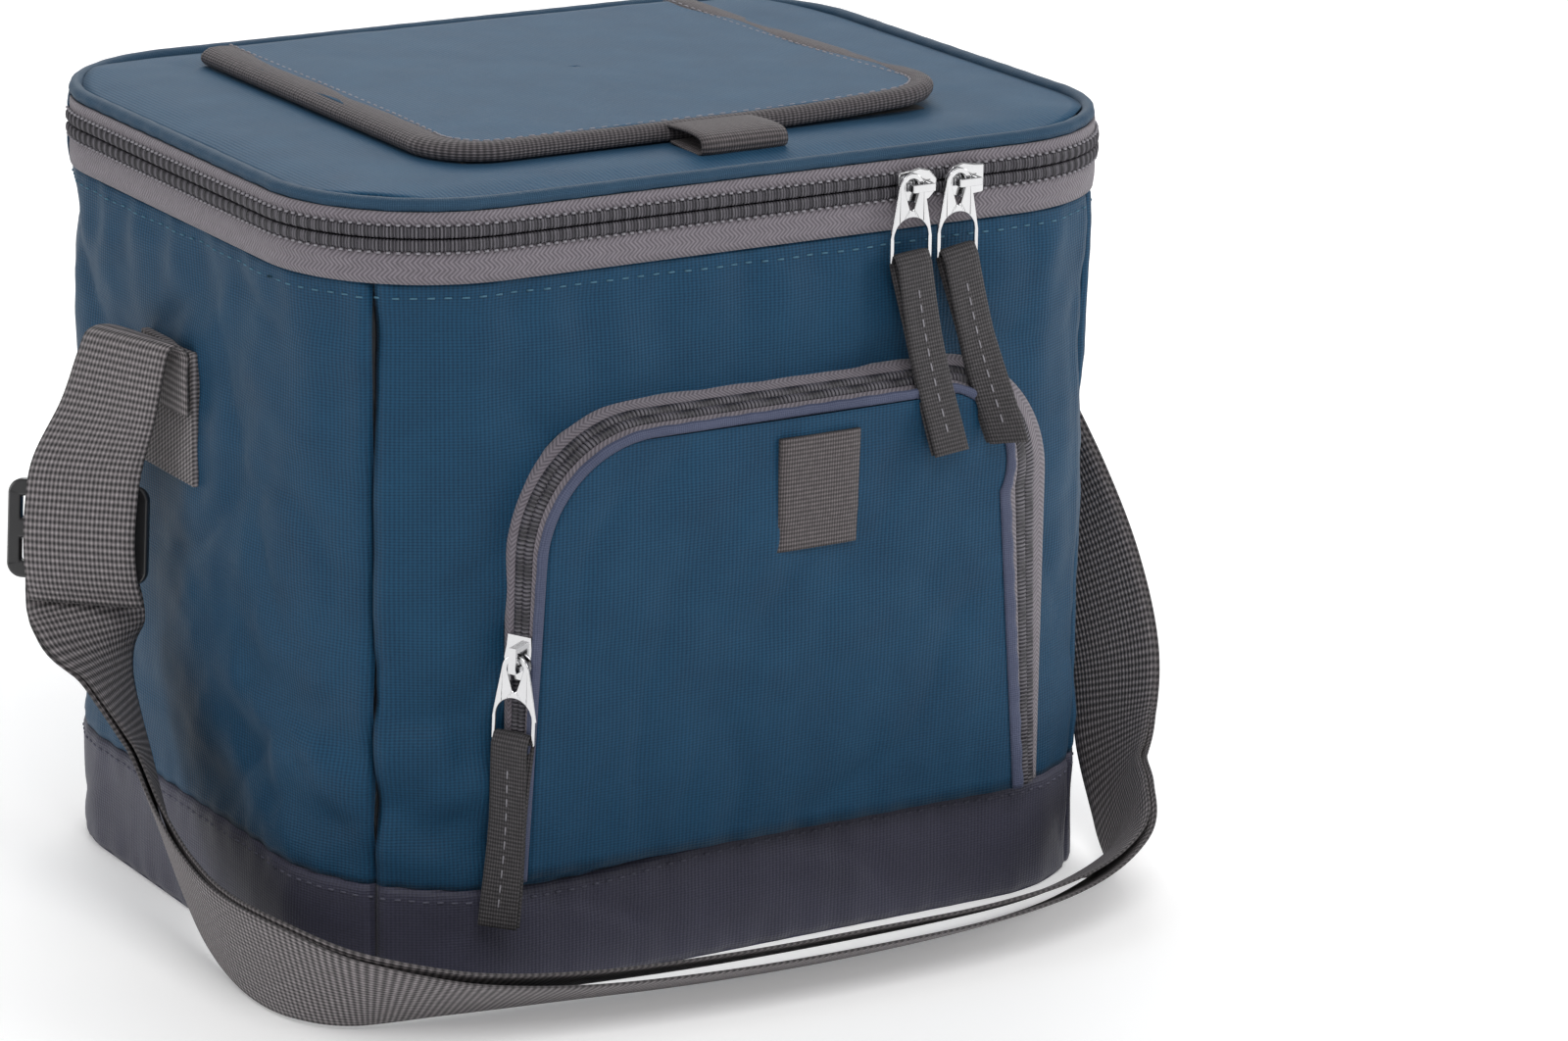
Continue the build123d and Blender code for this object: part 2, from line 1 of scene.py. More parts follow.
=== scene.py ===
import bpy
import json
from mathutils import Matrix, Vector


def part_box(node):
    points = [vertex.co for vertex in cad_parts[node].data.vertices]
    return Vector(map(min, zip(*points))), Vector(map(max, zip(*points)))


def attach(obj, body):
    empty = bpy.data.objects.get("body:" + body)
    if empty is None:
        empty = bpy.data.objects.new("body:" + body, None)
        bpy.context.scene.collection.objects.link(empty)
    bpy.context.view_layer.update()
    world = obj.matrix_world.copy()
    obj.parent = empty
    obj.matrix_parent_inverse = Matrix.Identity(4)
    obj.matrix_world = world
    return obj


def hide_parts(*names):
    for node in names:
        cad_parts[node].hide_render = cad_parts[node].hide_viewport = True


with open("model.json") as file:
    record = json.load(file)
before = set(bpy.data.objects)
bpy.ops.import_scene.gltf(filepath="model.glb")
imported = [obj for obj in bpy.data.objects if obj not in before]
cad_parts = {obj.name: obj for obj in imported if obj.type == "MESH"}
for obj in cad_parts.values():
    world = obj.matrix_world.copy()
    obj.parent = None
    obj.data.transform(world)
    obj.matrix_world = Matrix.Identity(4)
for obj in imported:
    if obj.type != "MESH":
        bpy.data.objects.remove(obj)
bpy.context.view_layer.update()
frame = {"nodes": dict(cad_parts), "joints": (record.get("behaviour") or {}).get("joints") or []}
import json
import math
import bpy
import numpy as np
from mathutils import Matrix, Vector
from mathutils.bvhtree import BVHTree


def lo(node):
    return np.array(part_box(node)[0]) * 1000


def hi(node):
    return np.array(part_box(node)[1]) * 1000


# ---- sizes read from the CAD frame
HX, HY = hi("right_panel")[0], hi("back_panel")[1]
R = 55.0  # corner radius of the bag seen from above
SEAM = hi("base_band_front")[2]
WALL_TOP = hi("front_panel")[2]
COIL0, COIL1 = lo("body_zip_coil")[2], hi("body_zip_coil")[2]
COIL2, COIL3 = lo("lid_zip_coil")[2], hi("lid_zip_coil")[2]
BAND_TOP = hi("lid_zip_tape")[2]
LID_TOP = hi("lid_top_panel")[2]
FLAP_X, FLAP_Y0, FLAP_Y1 = hi("flap_binding")[0], lo("flap_binding")[1], hi("flap_binding")[1]
FLAP_Z0, FLAP_Z1 = lo("flap_binding")[2], hi("flap_binding")[2]
SLEEVE = 0.8  # thickness of the film round the hatch
HOLE_X = hi("hatch_sleeve")[0] - SLEEVE
HOLE_Y0, HOLE_Y1 = lo("hatch_sleeve")[1] + SLEEVE, hi("hatch_sleeve")[1] - SLEEVE


# ---- materials
def material(name, rough=0.7, metal=0.0, sheen=0.0, coat=0.0):
    m = bpy.data.materials.new(name)
    m.use_nodes = True
    p = m.node_tree.nodes["Principled BSDF"]
    p.inputs["Roughness"].default_value = rough
    p.inputs["Metallic"].default_value = metal
    p.inputs["Sheen Weight"].default_value = sheen
    p.inputs["Sheen Roughness"].default_value = 0.5
    p.inputs["Coat Weight"].default_value = coat
    return m, m.node_tree, p


def node(nt, kind, values=(), **props):
    n = nt.nodes.new(kind)
    for k, v in props.items():
        setattr(n, k, v)
    for i, v in enumerate(values):
        if v is None:
            continue
        if isinstance(v, bpy.types.NodeSocket):
            nt.links.new(v, n.inputs[i])
        else:
            n.inputs[i].default_value = v
    return n


def op(nt, operation, *values):
    return node(nt, "ShaderNodeMath", values, operation=operation).outputs[0]


def uv_axes(nt):
    """The piece's own cloth directions, in millimetres."""
    uv = node(nt, "ShaderNodeUVMap").outputs[0]
    s = node(nt, "ShaderNodeSeparateXYZ", [uv])
    return uv, op(nt, "MULTIPLY", s.outputs[0], 1000.0), op(nt, "MULTIPLY", s.outputs[1], 1000.0)


def noise(nt, vector, scale, detail=3.0, rough=0.55):
    n = nt.nodes.new("ShaderNodeTexNoise")
    nt.links.new(vector, n.inputs["Vector"])
    n.inputs["Scale"].default_value = scale
    n.inputs["Detail"].default_value = detail
    n.inputs["Roughness"].default_value = rough
    return n.outputs[0]


def mix(nt, fac, a, b):
    m = nt.nodes.new("ShaderNodeMix")
    m.data_type = "RGBA"
    for i, v in ((0, fac), (6, a), (7, b)):
        if isinstance(v, bpy.types.NodeSocket):
            nt.links.new(v, m.inputs[i])
        else:
            m.inputs[i].default_value = v if i == 0 else (*v, 1.0)
    return m.outputs[2]


def relief(nt, p, height, strength, distance):
    b = nt.nodes.new("ShaderNodeBump")
    b.inputs["Strength"].default_value = strength
    b.inputs["Distance"].default_value = distance
    nt.links.new(height, b.inputs["Height"])
    nt.links.new(b.outputs[0], p.inputs["Normal"])


def waves(nt, a, pitch, phase=0.0):
    return op(nt, "SINE", op(nt, "MULTIPLY_ADD", a, 2 * math.pi / pitch, phase))


def weave(nt, u, v, pu, pv):
    """Staggered grains: 1 on a grain and 0 between."""
    a = waves(nt, op(nt, "ADD", u, op(nt, "MULTIPLY", v, pu / pv)), pu)
    b = waves(nt, op(nt, "SUBTRACT", u, op(nt, "MULTIPLY", v, pu / pv)), pu)
    return op(nt, "MULTIPLY_ADD", op(nt, "MULTIPLY", a, b), 0.5, 0.5)


def cloth(name, dark, light, pitch=1.5, sheen=0.04, grain=0.6, rough=0.58, gloss=0.22):
    m, nt, p = material(name, rough, sheen=sheen)
    p.inputs["Specular IOR Level"].default_value = gloss
    uv, u, v = uv_axes(nt)
    g = weave(nt, u, v, pitch * 1.5, pitch)
    broad = noise(nt, uv, 45.0)
    fine = noise(nt, uv, 900.0, 2.0)
    f = op(nt, "ADD", op(nt, "MULTIPLY", g, grain), op(nt, "MULTIPLY", fine, 0.3))
    f = op(nt, "ADD", f, op(nt, "MULTIPLY", op(nt, "SUBTRACT", broad, 0.5), 0.5))
    nt.links.new(mix(nt, f, dark, light), p.inputs["Base Color"])
    relief(nt, p, op(nt, "ADD", g, fine), 0.5, 0.0003)
    return m


def webbing(name, dark, light, pu=2.2, pv=1.6, strength=0.7):
    m, nt, p = material(name, 0.8, sheen=0.05)
    uv, u, v = uv_axes(nt)
    g = op(nt, "POWER", weave(nt, u, v, pu, pv), 1.4)
    n = noise(nt, uv, 500.0, 2.0)
    f = op(nt, "MULTIPLY", g, op(nt, "ADD", n, 0.45))
    nt.links.new(mix(nt, f, dark, light), p.inputs["Base Color"])
    relief(nt, p, g, strength, 0.0006)
    return m


def herringbone(name, dark, light, pitch=1.6, band=2.4):
    m, nt, p = material(name, 0.85, sheen=0.2)
    uv, u, v = uv_axes(nt)
    zig = op(nt, "PINGPONG", v, band)
    g = op(nt, "MULTIPLY_ADD", waves(nt, op(nt, "ADD", u, zig), pitch), 0.5, 0.5)
    f = op(nt, "MULTIPLY_ADD", g, 0.65, op(nt, "MULTIPLY", noise(nt, uv, 400.0), 0.5))
    nt.links.new(mix(nt, f, dark, light), p.inputs["Base Color"])
    relief(nt, p, g, 0.5, 0.0004)
    return m


def coil_look(name, dark, light):
    m, nt, p = material(name, 0.5)
    uv, u, v = uv_axes(nt)
    g = op(nt, "MULTIPLY_ADD", waves(nt, u, 1.5), 0.5, 0.5)
    nt.links.new(mix(nt, g, dark, light), p.inputs["Base Color"])
    relief(nt, p, g, 0.8, 0.0006)
    return m


def film(name, colour, strength=0.5):
    m, nt, p = material(name, 0.32, metal=0.75)
    co = node(nt, "ShaderNodeTexCoord").outputs["Object"]
    broad = noise(nt, co, 28.0, 4.0)
    fine = noise(nt, co, 160.0, 3.0)
    nt.links.new(mix(nt, fine, tuple(c * 0.82 for c in colour), colour), p.inputs["Base Color"])
    relief(nt, p, op(nt, "ADD", broad, op(nt, "MULTIPLY", fine, 0.3)), strength, 0.004)
    return m


def rough_look(name, dark, light, scale, rough=0.9, bump=0.6, metal=0.0, coat=0.0):
    m, nt, p = material(name, rough, metal=metal, coat=coat)
    co = node(nt, "ShaderNodeTexCoord").outputs["Object"]
    n = noise(nt, co, scale, 3.0)
    nt.links.new(mix(nt, n, dark, light), p.inputs["Base Color"])
    relief(nt, p, n, bump, 0.0004)
    return m


BODY = cloth("body_cloth", (0.0006, 0.017, 0.045), (0.0075, 0.062, 0.128), pitch=1.9, grain=0.85)
# Lid and flap top: the body's own fabric painted lighter. This is painted light for the brighter sheen the
# upward-facing top catches from the lamps above and behind.
LID_PAINTED_LIGHT_CLOTH = cloth(
    "lid_cloth_painted_light", (0.002, 0.028, 0.070), (0.014, 0.082, 0.160), pitch=1.9, grain=0.8, rough=0.58, gloss=0.14
)
BASEC = cloth("base_cloth", (0.011, 0.011, 0.024), (0.052, 0.052, 0.092), pitch=1.8, sheen=0.12, gloss=0.45)
PIPE = cloth("piping_cloth", (0.004, 0.028, 0.064), (0.036, 0.090, 0.150), pitch=1.0)
UNDER = rough_look("underside_cloth", (0.011, 0.011, 0.024), (0.052, 0.052, 0.092), 650.0)
PPIPE = cloth("pocket_piping_cloth", (0.030, 0.038, 0.075), (0.110, 0.125, 0.200), pitch=1.0)
TAPE = herringbone("zip_tape_weave", (0.060, 0.052, 0.062), (0.225, 0.200, 0.228))
COIL = coil_look("zip_coil_plastic", (0.012, 0.011, 0.015), (0.120, 0.112, 0.130))
WEB = webbing("strap_webbing", (0.010, 0.009, 0.010), (0.340, 0.308, 0.318), 4.6, 3.0, 0.9)
PULLW = webbing("puller_webbing", (0.008, 0.007, 0.008), (0.098, 0.090, 0.096), 2.6, 1.8)
BIND = webbing("binding_webbing", (0.022, 0.019, 0.021), (0.190, 0.168, 0.178), 3.2, 2.0)
TABW = webbing("tab_webbing", (0.020, 0.017, 0.018), (0.190, 0.165, 0.172), 2.8, 1.9)
FILM = film("liner_film", (0.62, 0.64, 0.67))
HOOK = rough_look("hook_tape", (0.006, 0.006, 0.007), (0.035, 0.035, 0.038), 1400.0)
FOAM = rough_look("foam_core", (0.62, 0.63, 0.64), (0.80, 0.81, 0.82), 500.0)
BOARD = rough_look("stiffener_board", (0.015, 0.015, 0.016), (0.030, 0.030, 0.032), 300.0)
CHROME = rough_look("slider_metal", (0.58, 0.58, 0.59), (0.72, 0.72, 0.73), 60.0, 0.13, 0.03, metal=1.0)
PLASTIC = rough_look(
    "adjuster_plastic", (0.010, 0.010, 0.011), (0.020, 0.020, 0.022), 120.0, 0.28, 0.1, coat=0.4
)
THREAD = rough_look("thread", (0.030, 0.100, 0.160), (0.080, 0.190, 0.270), 700.0)
DARKT = rough_look("dark_thread", (0.060, 0.060, 0.085), (0.110, 0.110, 0.150), 700.0)
DOTS = rough_look("zip_thread", (0.16, 0.15, 0.17), (0.34, 0.33, 0.36), 700.0)


# ---- mesh helpers
def add_mesh(name, verts, faces, uvs, mat, body, nodes=(), smooth=True, thick=0.0):
    """A mesh in the row frame. uvs is one (u, v) per vertex, in millimetres."""
    me = bpy.data.meshes.new(name)
    me.from_pydata((np.asarray(verts) * 0.001).tolist(), [], faces)
    me.update()
    if uvs is not None:
        layer = me.uv_layers.new(name="UVMap")
        idx = np.zeros(len(me.loops), np.int32)
        me.loops.foreach_get("vertex_index", idx)
        layer.data.foreach_set("uv", (np.asarray(uvs)[idx] * 0.001).astype(np.float32).ravel())
    me.polygons.foreach_set("use_smooth", [smooth] * len(me.polygons))
    me.materials.append(mat)
    o = bpy.data.objects.new(name, me)
    bpy.context.scene.collection.objects.link(o)
    if thick:
        s = o.modifiers.new("thickness", "SOLIDIFY")
        s.thickness = thick * 0.001
        s.offset = -1.0
    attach(o, body)
    if nodes:
        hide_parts(*nodes)
    return o


def grid(name, P, mat, body, nodes=(), wrap_u=False, wrap_v=False, uv=None, thick=0.0, flip=False):
    """A surface from a (rows, columns, 3) array. The cloth's u runs down the rows."""
    P = np.asarray(P, float)
    n, m = P.shape[:2]
    if uv is None:
        du = np.linalg.norm(np.diff(P, axis=0), axis=2).mean(1)
        dv = np.linalg.norm(np.diff(P, axis=1), axis=2).mean(0)
        u, v = np.concatenate([[0], np.cumsum(du)]), np.concatenate([[0], np.cumsum(dv)])
        uv = np.stack(np.meshgrid(u, v, indexing="ij"), -1)
    faces = []
    for i in range(n if wrap_u else n - 1):
        for j in range(m if wrap_v else m - 1):
            a, b = i * m + j, ((i + 1) % n) * m + j
            c, d = ((i + 1) % n) * m + (j + 1) % m, i * m + (j + 1) % m
            faces.append((d, c, b, a) if flip else (a, b, c, d))
    return add_mesh(
        name, P.reshape(-1, 3), faces, np.asarray(uv).reshape(-1, 2), mat, body, nodes, thick=thick
    )


def ends(P):
    """Closes a tube's two ends by drawing the first and last sections to their middles."""
    a, b = P[0].mean(0), P[-1].mean(0)
    return np.concatenate([np.broadcast_to(a, P[0].shape)[None], P, np.broadcast_to(b, P[0].shape)[None]])


def fuzz(x, y, scale, seed, octaves=3):
    """Smooth noise from -1 to 1, made of waves in seeded directions."""
    r = np.random.default_rng(seed)
    total, amp = 0.0, 1.0
    for k in range(octaves):
        for _ in range(4):
            a, ph = r.uniform(0, math.pi), r.uniform(0, 6.3)
            f = 2 * math.pi / (scale / 1.9**k) * r.uniform(0.7, 1.3)
            total = total + amp * np.sin(
                (x * math.cos(a) + y * math.sin(a)) * f + ph + 1.3 * np.sin(x * f * 0.31 + ph)
            )
        amp *= 0.5
    return total / 5.5


def creases(x, y, scale, seed):
    """Thin soft ridges, from 0 to 1."""
    return np.clip(1 - np.abs(fuzz(x, y, scale, seed, 2)) * 3.2, 0, 1) ** 2


def rounded(t, hx, hy, radii, cy=0.0):
    """A rounded rectangle by t: 0-1 front left corner, 1-2 front, 2-3 front right corner, and so on round."""
    t = np.mod(np.asarray(t, float), 8.0)
    k = np.floor(t).astype(int)
    f = t - k
    corner = [(-1, -1), (1, -1), (1, 1), (-1, 1)]
    rf = np.array([radii[0], radii[0], radii[1], radii[1]])
    x, y, nx, ny = (np.zeros_like(t) for _ in range(4))
    for c, (sx, sy) in enumerate(corner):
        arc = k == 2 * c
        ang = math.radians(180 + 90 * c) + f * math.pi / 2
        ccx, ccy = sx * (hx - rf[c]), sy * (hy - rf[c])
        x = np.where(arc, ccx + rf[c] * np.cos(ang), x)
        y = np.where(arc, ccy + rf[c] * np.sin(ang), y)
        nx = np.where(arc, np.cos(ang), nx)
        ny = np.where(arc, np.sin(ang), ny)
        line = k == 2 * c + 1
        e = (c + 1) % 4
        a1 = math.radians(180 + 90 * (c + 1))
        p0 = (ccx + rf[c] * math.cos(a1), ccy + rf[c] * math.sin(a1))
        ex, ey = corner[e][0] * (hx - rf[e]), corner[e][1] * (hy - rf[e])
        p1 = (ex + rf[e] * math.cos(a1), ey + rf[e] * math.sin(a1))
        x = np.where(line, p0[0] + (p1[0] - p0[0]) * f, x)
        y = np.where(line, p0[1] + (p1[1] - p0[1]) * f, y)
        nx = np.where(line, math.cos(a1), nx)
        ny = np.where(line, math.sin(a1), ny)
    return x, y + cy, nx, ny


def bag(t):
    return rounded(t, HX, HY, (R, R))


def walk(t0, t1, step, shape=bag):
    """Values of t from t0 to t1, evenly spaced along the outline, and the distance at each."""
    t = np.linspace(t0, t1, 4000)
    x, y = shape(t)[:2]
    d = np.concatenate([[0], np.cumsum(np.hypot(np.diff(x), np.diff(y)))])
    n = max(2, int(d[-1] / step) + 1)
    s = np.linspace(0, d[-1], n)
    return np.interp(s, d, t), s


ZIP0, ZIP1 = -1.206, 4.206
SPANS = {"front": (0.5, 2.5), "right": (2.5, 4.5), "back": (4.5, 6.5), "left": (6.5, 8.5)}


def sweep(name, t, section, mat, body, nodes=(), shape=bag, closed=False, ripple=None, widths=1.0):
    """A closed section of (outward, up) points carried along an outline."""
    x, y, nx, ny = shape(t)
    sec = np.asarray(section, float)
    g = sec[None, :, 0] * np.broadcast_to(widths, len(x))[:, None] + (
        np.zeros(len(x)) if ripple is None else ripple
    )[:, None]
    P = np.stack(
        [
            x[:, None] + nx[:, None] * g, y[:, None] + ny[:, None] * g,
            np.broadcast_to(sec[None, :, 1], g.shape)
        ],
        -1
    )
    d = np.concatenate([[0], np.cumsum(np.linalg.norm(np.diff(P[:, 0], axis=0), axis=1))])
    w = np.concatenate([[0], np.cumsum(np.linalg.norm(np.diff(sec, axis=0), axis=1))])
    if not closed:
        P, d = ends(P), np.concatenate([[0], d, [d[-1]]])
    uv = np.stack(np.meshgrid(d, w, indexing="ij"), -1)
    return grid(name, P, mat, body, nodes, wrap_u=closed, wrap_v=True, uv=uv, flip=True)


def oval(cx, cz, rx, rz, n=12, power=2.0):
    a = np.linspace(0, 2 * math.pi, n, endpoint=False)
    c, s = np.cos(a), np.sin(a)
    return np.stack(
        [cx + rx * np.sign(c) * np.abs(c) ** (2 / power), cz + rz * np.sign(s) * np.abs(s) ** (2 / power)], -1
    )


def dashes(name, P, N, T, length, width, height, mat, body):
    """Small raised stitches: P positions, N outward, T along."""
    P, N, T = (np.asarray(a, float) for a in (P, N, T))
    N /= np.linalg.norm(N, axis=1, keepdims=True)
    T = T - N * (T * N).sum(1, keepdims=True)
    T /= np.linalg.norm(T, axis=1, keepdims=True)
    B = np.cross(N, T)
    out, faces, uv = [], [], []
    corners = [
        (-1, -1, 0), (1, -1, 0), (1, 1, 0), (-1, 1, 0), (-0.6, -0.5, 1), (0.6, -0.5, 1), (0.6, 0.5, 1),
        (-0.6, 0.5, 1)
    ]
    quads = [(4, 5, 6, 7), (0, 1, 5, 4), (1, 2, 6, 5), (2, 3, 7, 6), (3, 0, 4, 7), (3, 2, 1, 0)]
    for i in range(len(P)):
        for a, b, c in corners:
            out.append(P[i] + T[i] * a * length / 2 + B[i] * b * width / 2 + N[i] * (c * height - 0.1))
            uv.append((a, b))
        faces += [tuple(8 * i + q for q in f) for f in quads]
    return add_mesh(name, out, faces, uv, mat, body)


def ring_stitches(
    name, t, g, z, length, mat, body, pitch, shape=bag, width=0.7, height=0.5, up=False, on=()
):
    ts, _ = walk(t[0], t[1], pitch, shape)
    x, y, nx, ny = shape(ts)
    g = g(ts) if callable(g) else g
    P = np.stack([x + nx * g, y + ny * g, np.full_like(x, z) if np.isscalar(z) else z(ts)], -1)
    T = np.stack([-ny, nx, 0 * nx], -1)
    N = np.stack([0 * nx, 0 * ny, 1 + 0 * nx], -1) if up else np.stack([nx, ny, 0 * nx], -1)
    view = bpy.context.evaluated_depsgraph_get()
    trees = [BVHTree.FromObject(bpy.data.objects[o], view) for o in on]
    for i in range(len(P) if trees else 0):
        start = Vector((P[i] + N[i] * 6) * 0.001)
        hits = [h[3] for h in (tree.ray_cast(start, Vector(-N[i]), 0.012) for tree in trees) if h[3]]
        if hits:
            P[i] += N[i] * (6 - min(hits) * 1000)
    return dashes(name, P, N, T, length, width, height, mat, body)


# ---- walls: cloth panels and the band round the base
def seam_z(x, y):
    """The base seam sags a little beside the pocket's left foot."""
    front = y < -60
    left_dip = 4.5 * np.exp(-(((x + 78) / 48) ** 2)) * front
    right_dip = 1.2 * np.exp(-(((x - 120) / 30) ** 2)) * front
    return SEAM - left_dip - right_dip


def wall(side, low, high, mat, body, nodes, seed, swell, wrinkle, step=2.6):
    t, s = walk(*SPANS[side], step)
    x, y, nx, ny = bag(t)
    z0 = seam_z(x, y) if low is None else np.full_like(x, low)
    z1 = seam_z(x, y) if high is None else np.full_like(x, high)
    rows = max(6, int((z1.mean() - z0.mean()) / step))
    f = np.linspace(0, 1, rows)
    Z = z0[:, None] + (z1 - z0)[:, None] * f[None]
    S = np.broadcast_to(s[:, None], Z.shape)
    edge = np.minimum(S, s[-1] - S)
    rim = np.minimum(Z - z0[:, None], z1[:, None] - Z)
    soft = np.clip(rim / 14, 0, 1) ** 0.7
    d = swell * np.sin(math.pi * f)[None] * np.sin(math.pi * S / s[-1])
    d = d + wrinkle * soft * (0.8 * fuzz(S, Z * 0.7, 95, seed) + 0.45 * fuzz(S * 0.8, Z, 34, seed + 1))
    d = d - wrinkle * 1.1 * soft * creases(S * 0.7, Z, 130, seed + 2)
    d = d + 0.35 * np.sin(S / 2.1 + 2 * fuzz(S, Z, 40, seed)) * np.exp(-rim / 7)
    d = d - 1.5 * np.exp(-((edge / 1.8) ** 2)) - 0.9 * np.exp(-((rim / 1.6) ** 2))
    d = d + 0.7 * np.exp(-(((edge - 3.5) / 2.2) ** 2))
    if low is None:
        hang = np.exp(-(z1[:, None] - Z) / 42) * np.clip(rim / 10, 0, 1)
        d = d + 1.0 * hang * np.sin(2 * math.pi * S / 27 + 1.6 * fuzz(S, Z, 80, seed + 4))
    if side in ("left", "front") and low is None:
        near = np.exp(-((Z - 75) / 42) ** 2) * (np.exp(-((S - (s[-1] if side == "left" else 0)) / 70) ** 2))
        d = d + near * 2.2 * np.sin((S * 0.5 + Z) / 6.5 + 1.8 * fuzz(S, Z, 60, 9)) * np.clip(rim / 12, 0, 1)
    P = np.stack([x[:, None] + nx[:, None] * d, y[:, None] + ny[:, None] * d, Z], -1)
    uv = np.stack([S, Z], -1)
    return grid(
        side + ("_cloth" if low is None else "_base_cloth"), P, mat, body, nodes, uv=uv, thick=1.1
    )


for i, side in enumerate(SPANS):
    wall(
        side, None, WALL_TOP + 0.4, BODY, "shell", [side + "_panel", "wall_foam_" + side],
        20 + 7 * i, 2.2, 2.0
    )
    wall(side, 0.6, None, BASEC, "shell", ["base_band_" + side], 60 + 7 * i, 0.8, 0.9, 2.2)

ring_stitches(
    "wall_top_stitches", (0, 8), 1.0, WALL_TOP - 5.2, 2.6, THREAD, "shell", 5.6,
    on=[side + "_cloth" for side in SPANS]
)
ring_stitches(
    "base_seam_stitches", (0, 8), 0.6, lambda t: seam_z(*bag(t)[:2]) - 4.0, 2.4, DARKT, "shell", 4.6,
    on=[side + "_base_cloth" for side in SPANS]
)

# ---- the main zip band
TS, _ = walk(ZIP0, ZIP1, 3.0)
TC, DC = walk(ZIP0, ZIP1, 0.5)
TB, _ = walk(ZIP1, 8 + ZIP0, 3.0)


def strip(z0, z1, g=0.9, thick=1.0, bulge=0.5):
    f = np.linspace(0, 1, 6)
    front = np.stack([g + bulge * np.sin(math.pi * f), z0 + (z1 - z0) * f], -1)
    return np.concatenate([front, [[g - thick, z1], [g - thick, z0]]])


sweep(
    "body_zip_tape_weave", TS, strip(WALL_TOP - 0.3, COIL0 + 0.3), TAPE, "shell", ["body_zip_tape"],
)
sweep(
    "lid_zip_tape_weave", TS, strip(COIL3 - 0.3, BAND_TOP + 0.4, bulge=0.2), TAPE, "lid", ["lid_zip_tape"],
)
sweep(
    "back_hinge_cloth", TB, strip(WALL_TOP - 0.3, lo("lid_back_binding")[2] - 0.4, bulge=0.9), BODY, "shell",
    ["back_hinge_binding"]
)
sweep(
    "lid_back_cloth", TB, strip(lo("lid_back_binding")[2], BAND_TOP + 0.4, bulge=0.6), BODY, "lid",
    ["lid_back_binding"]
)

RIBS = 0.38 * np.sin(2 * math.pi * DC / 1.5)
MESH = 0.55  # each row of teeth reaches this far into the channel
for label, z0, z1, body in (("body", COIL0, COIL1 + MESH, "shell"), ("lid", COIL2 - MESH, COIL3, "lid")):
    zm = (z0 + z1) / 2
    sec = oval(1.0, zm, 1.15, (z1 - z0) / 2 - 0.05, 12, 2.6)
    sweep(label + "_coil_ribbed", TC, sec, COIL, body, [label + "_zip_coil"], ripple=RIBS)
ring_stitches(
    "body_coil_thread", (ZIP0, ZIP1), 1.5, COIL0 - 0.3, 1.5, DOTS, "shell", 3.0, width=0.9,
    height=0.8
)
ring_stitches(
    "lid_coil_thread", (ZIP0, ZIP1), 1.5, COIL3 + 0.3, 1.5, DOTS, "lid", 3.0, width=0.9,
    height=0.8
)

# ---- lid: piping, top and lining
TL, DL = walk(0, 8, 1.6)
pz = (lo("lid_piping")[2] + hi("lid_piping")[2]) / 2
wob = 0.22 * fuzz(DL, 0 * DL, 26, 3) + 0.12 * np.sin(DL / 1.9)
sweep(
    "lid_piping_cord", TL[:-1], oval(-1.5, pz, 2.35, 2.3, 14), PIPE, "lid", ["lid_piping"],
    closed=True, ripple=wob[:-1]
)


def plate(name, t, outer, inner, z, mat, body, nodes, rings=20, flip=False, thick=0.9):
    """A flat piece between two outlines, with z a height function of x and y."""
    xo, yo = outer(t)[:2]
    xi, yi = inner(t)[:2]
    f = np.linspace(0, 1, rings)[None]
    X, Y = xo[:, None] + (xi - xo)[:, None] * f, yo[:, None] + (yi - yo)[:, None] * f
    P = np.stack([X, Y, z(X, Y)], -1)
    return grid(name, P, mat, body, nodes, wrap_u=True, uv=np.stack([X, Y], -1), thick=thick, flip=flip)


def lid_outline(t):
    return rounded(t, HX - 3.9, HY - 3.9, (R - 3.9, R - 3.9))


def hatch_outline(t):
    return rounded(t, HOLE_X, (HOLE_Y1 - HOLE_Y0) / 2, (8, 8), (HOLE_Y0 + HOLE_Y1) / 2)


def lid_height(X, Y):
    edge = np.minimum(HX - 4 - np.abs(X), HY - 4 - np.abs(Y))
    hole = np.maximum(np.abs(X) - HOLE_X, np.maximum(Y - HOLE_Y1, HOLE_Y0 - Y))
    rise = 0.9 * np.clip(edge / 12, 0, 1) * np.clip((hole - 24) / 24, 0, 1)
    fall = 1.9 * (1 - np.clip(edge / 26, 0, 1)) ** 1.6
    flat = np.clip(edge / 8, 0, 1) * np.clip((hole - 24) / 24, 0, 1)
    return LID_TOP - 0.3 - fall + rise + 0.35 * fuzz(X, Y, 46, 31) * flat


T4 = walk(0, 8, 3.0)[0][:-1]
lid_top = plate(
    "lid_top_cloth", T4, lid_outline, hatch_outline, lid_height, LID_PAINTED_LIGHT_CLOTH, "lid", ["lid_top_panel"],
    26, flip=True
)
LINZ = lo("lid_lining")[2]
plate(
    "lid_lining_film", T4, lambda t: rounded(t, HX - 5, HY - 5, (R - 5, R - 5)), hatch_outline,
    lambda X, Y: LINZ + 0.5 + 0.35 * fuzz(X, Y, 30, 12), FILM, "lid", ["lid_lining"], 20,
)
side_z = np.linspace(LINZ + 0.3, lo("lid_top_panel")[2] - 0.2, 5)
sweep(
    "lid_foam_edge", walk(0, 8, 3)[0][:-1],
    np.stack([np.full(5, -5.2) - 0.5 * (np.linspace(-1, 1, 5) ** 2), side_z], -1).tolist() + [
        [-8, side_z[-1]], [-8, side_z[0]]
    ],
    FOAM, "lid", ["lid_foam"], closed=True,
)
hole_sec = [(0.0, LINZ), (-0.1, (LINZ + LID_TOP) / 2), (0.0, LID_TOP), (0.8, LID_TOP), (0.8, LINZ)]
sweep(
    "hatch_sleeve_film", walk(0, 8, 2.5, hatch_outline)[0][:-1], hole_sec, FILM, "lid", ["hatch_sleeve"],
    shape=hatch_outline, closed=True
)

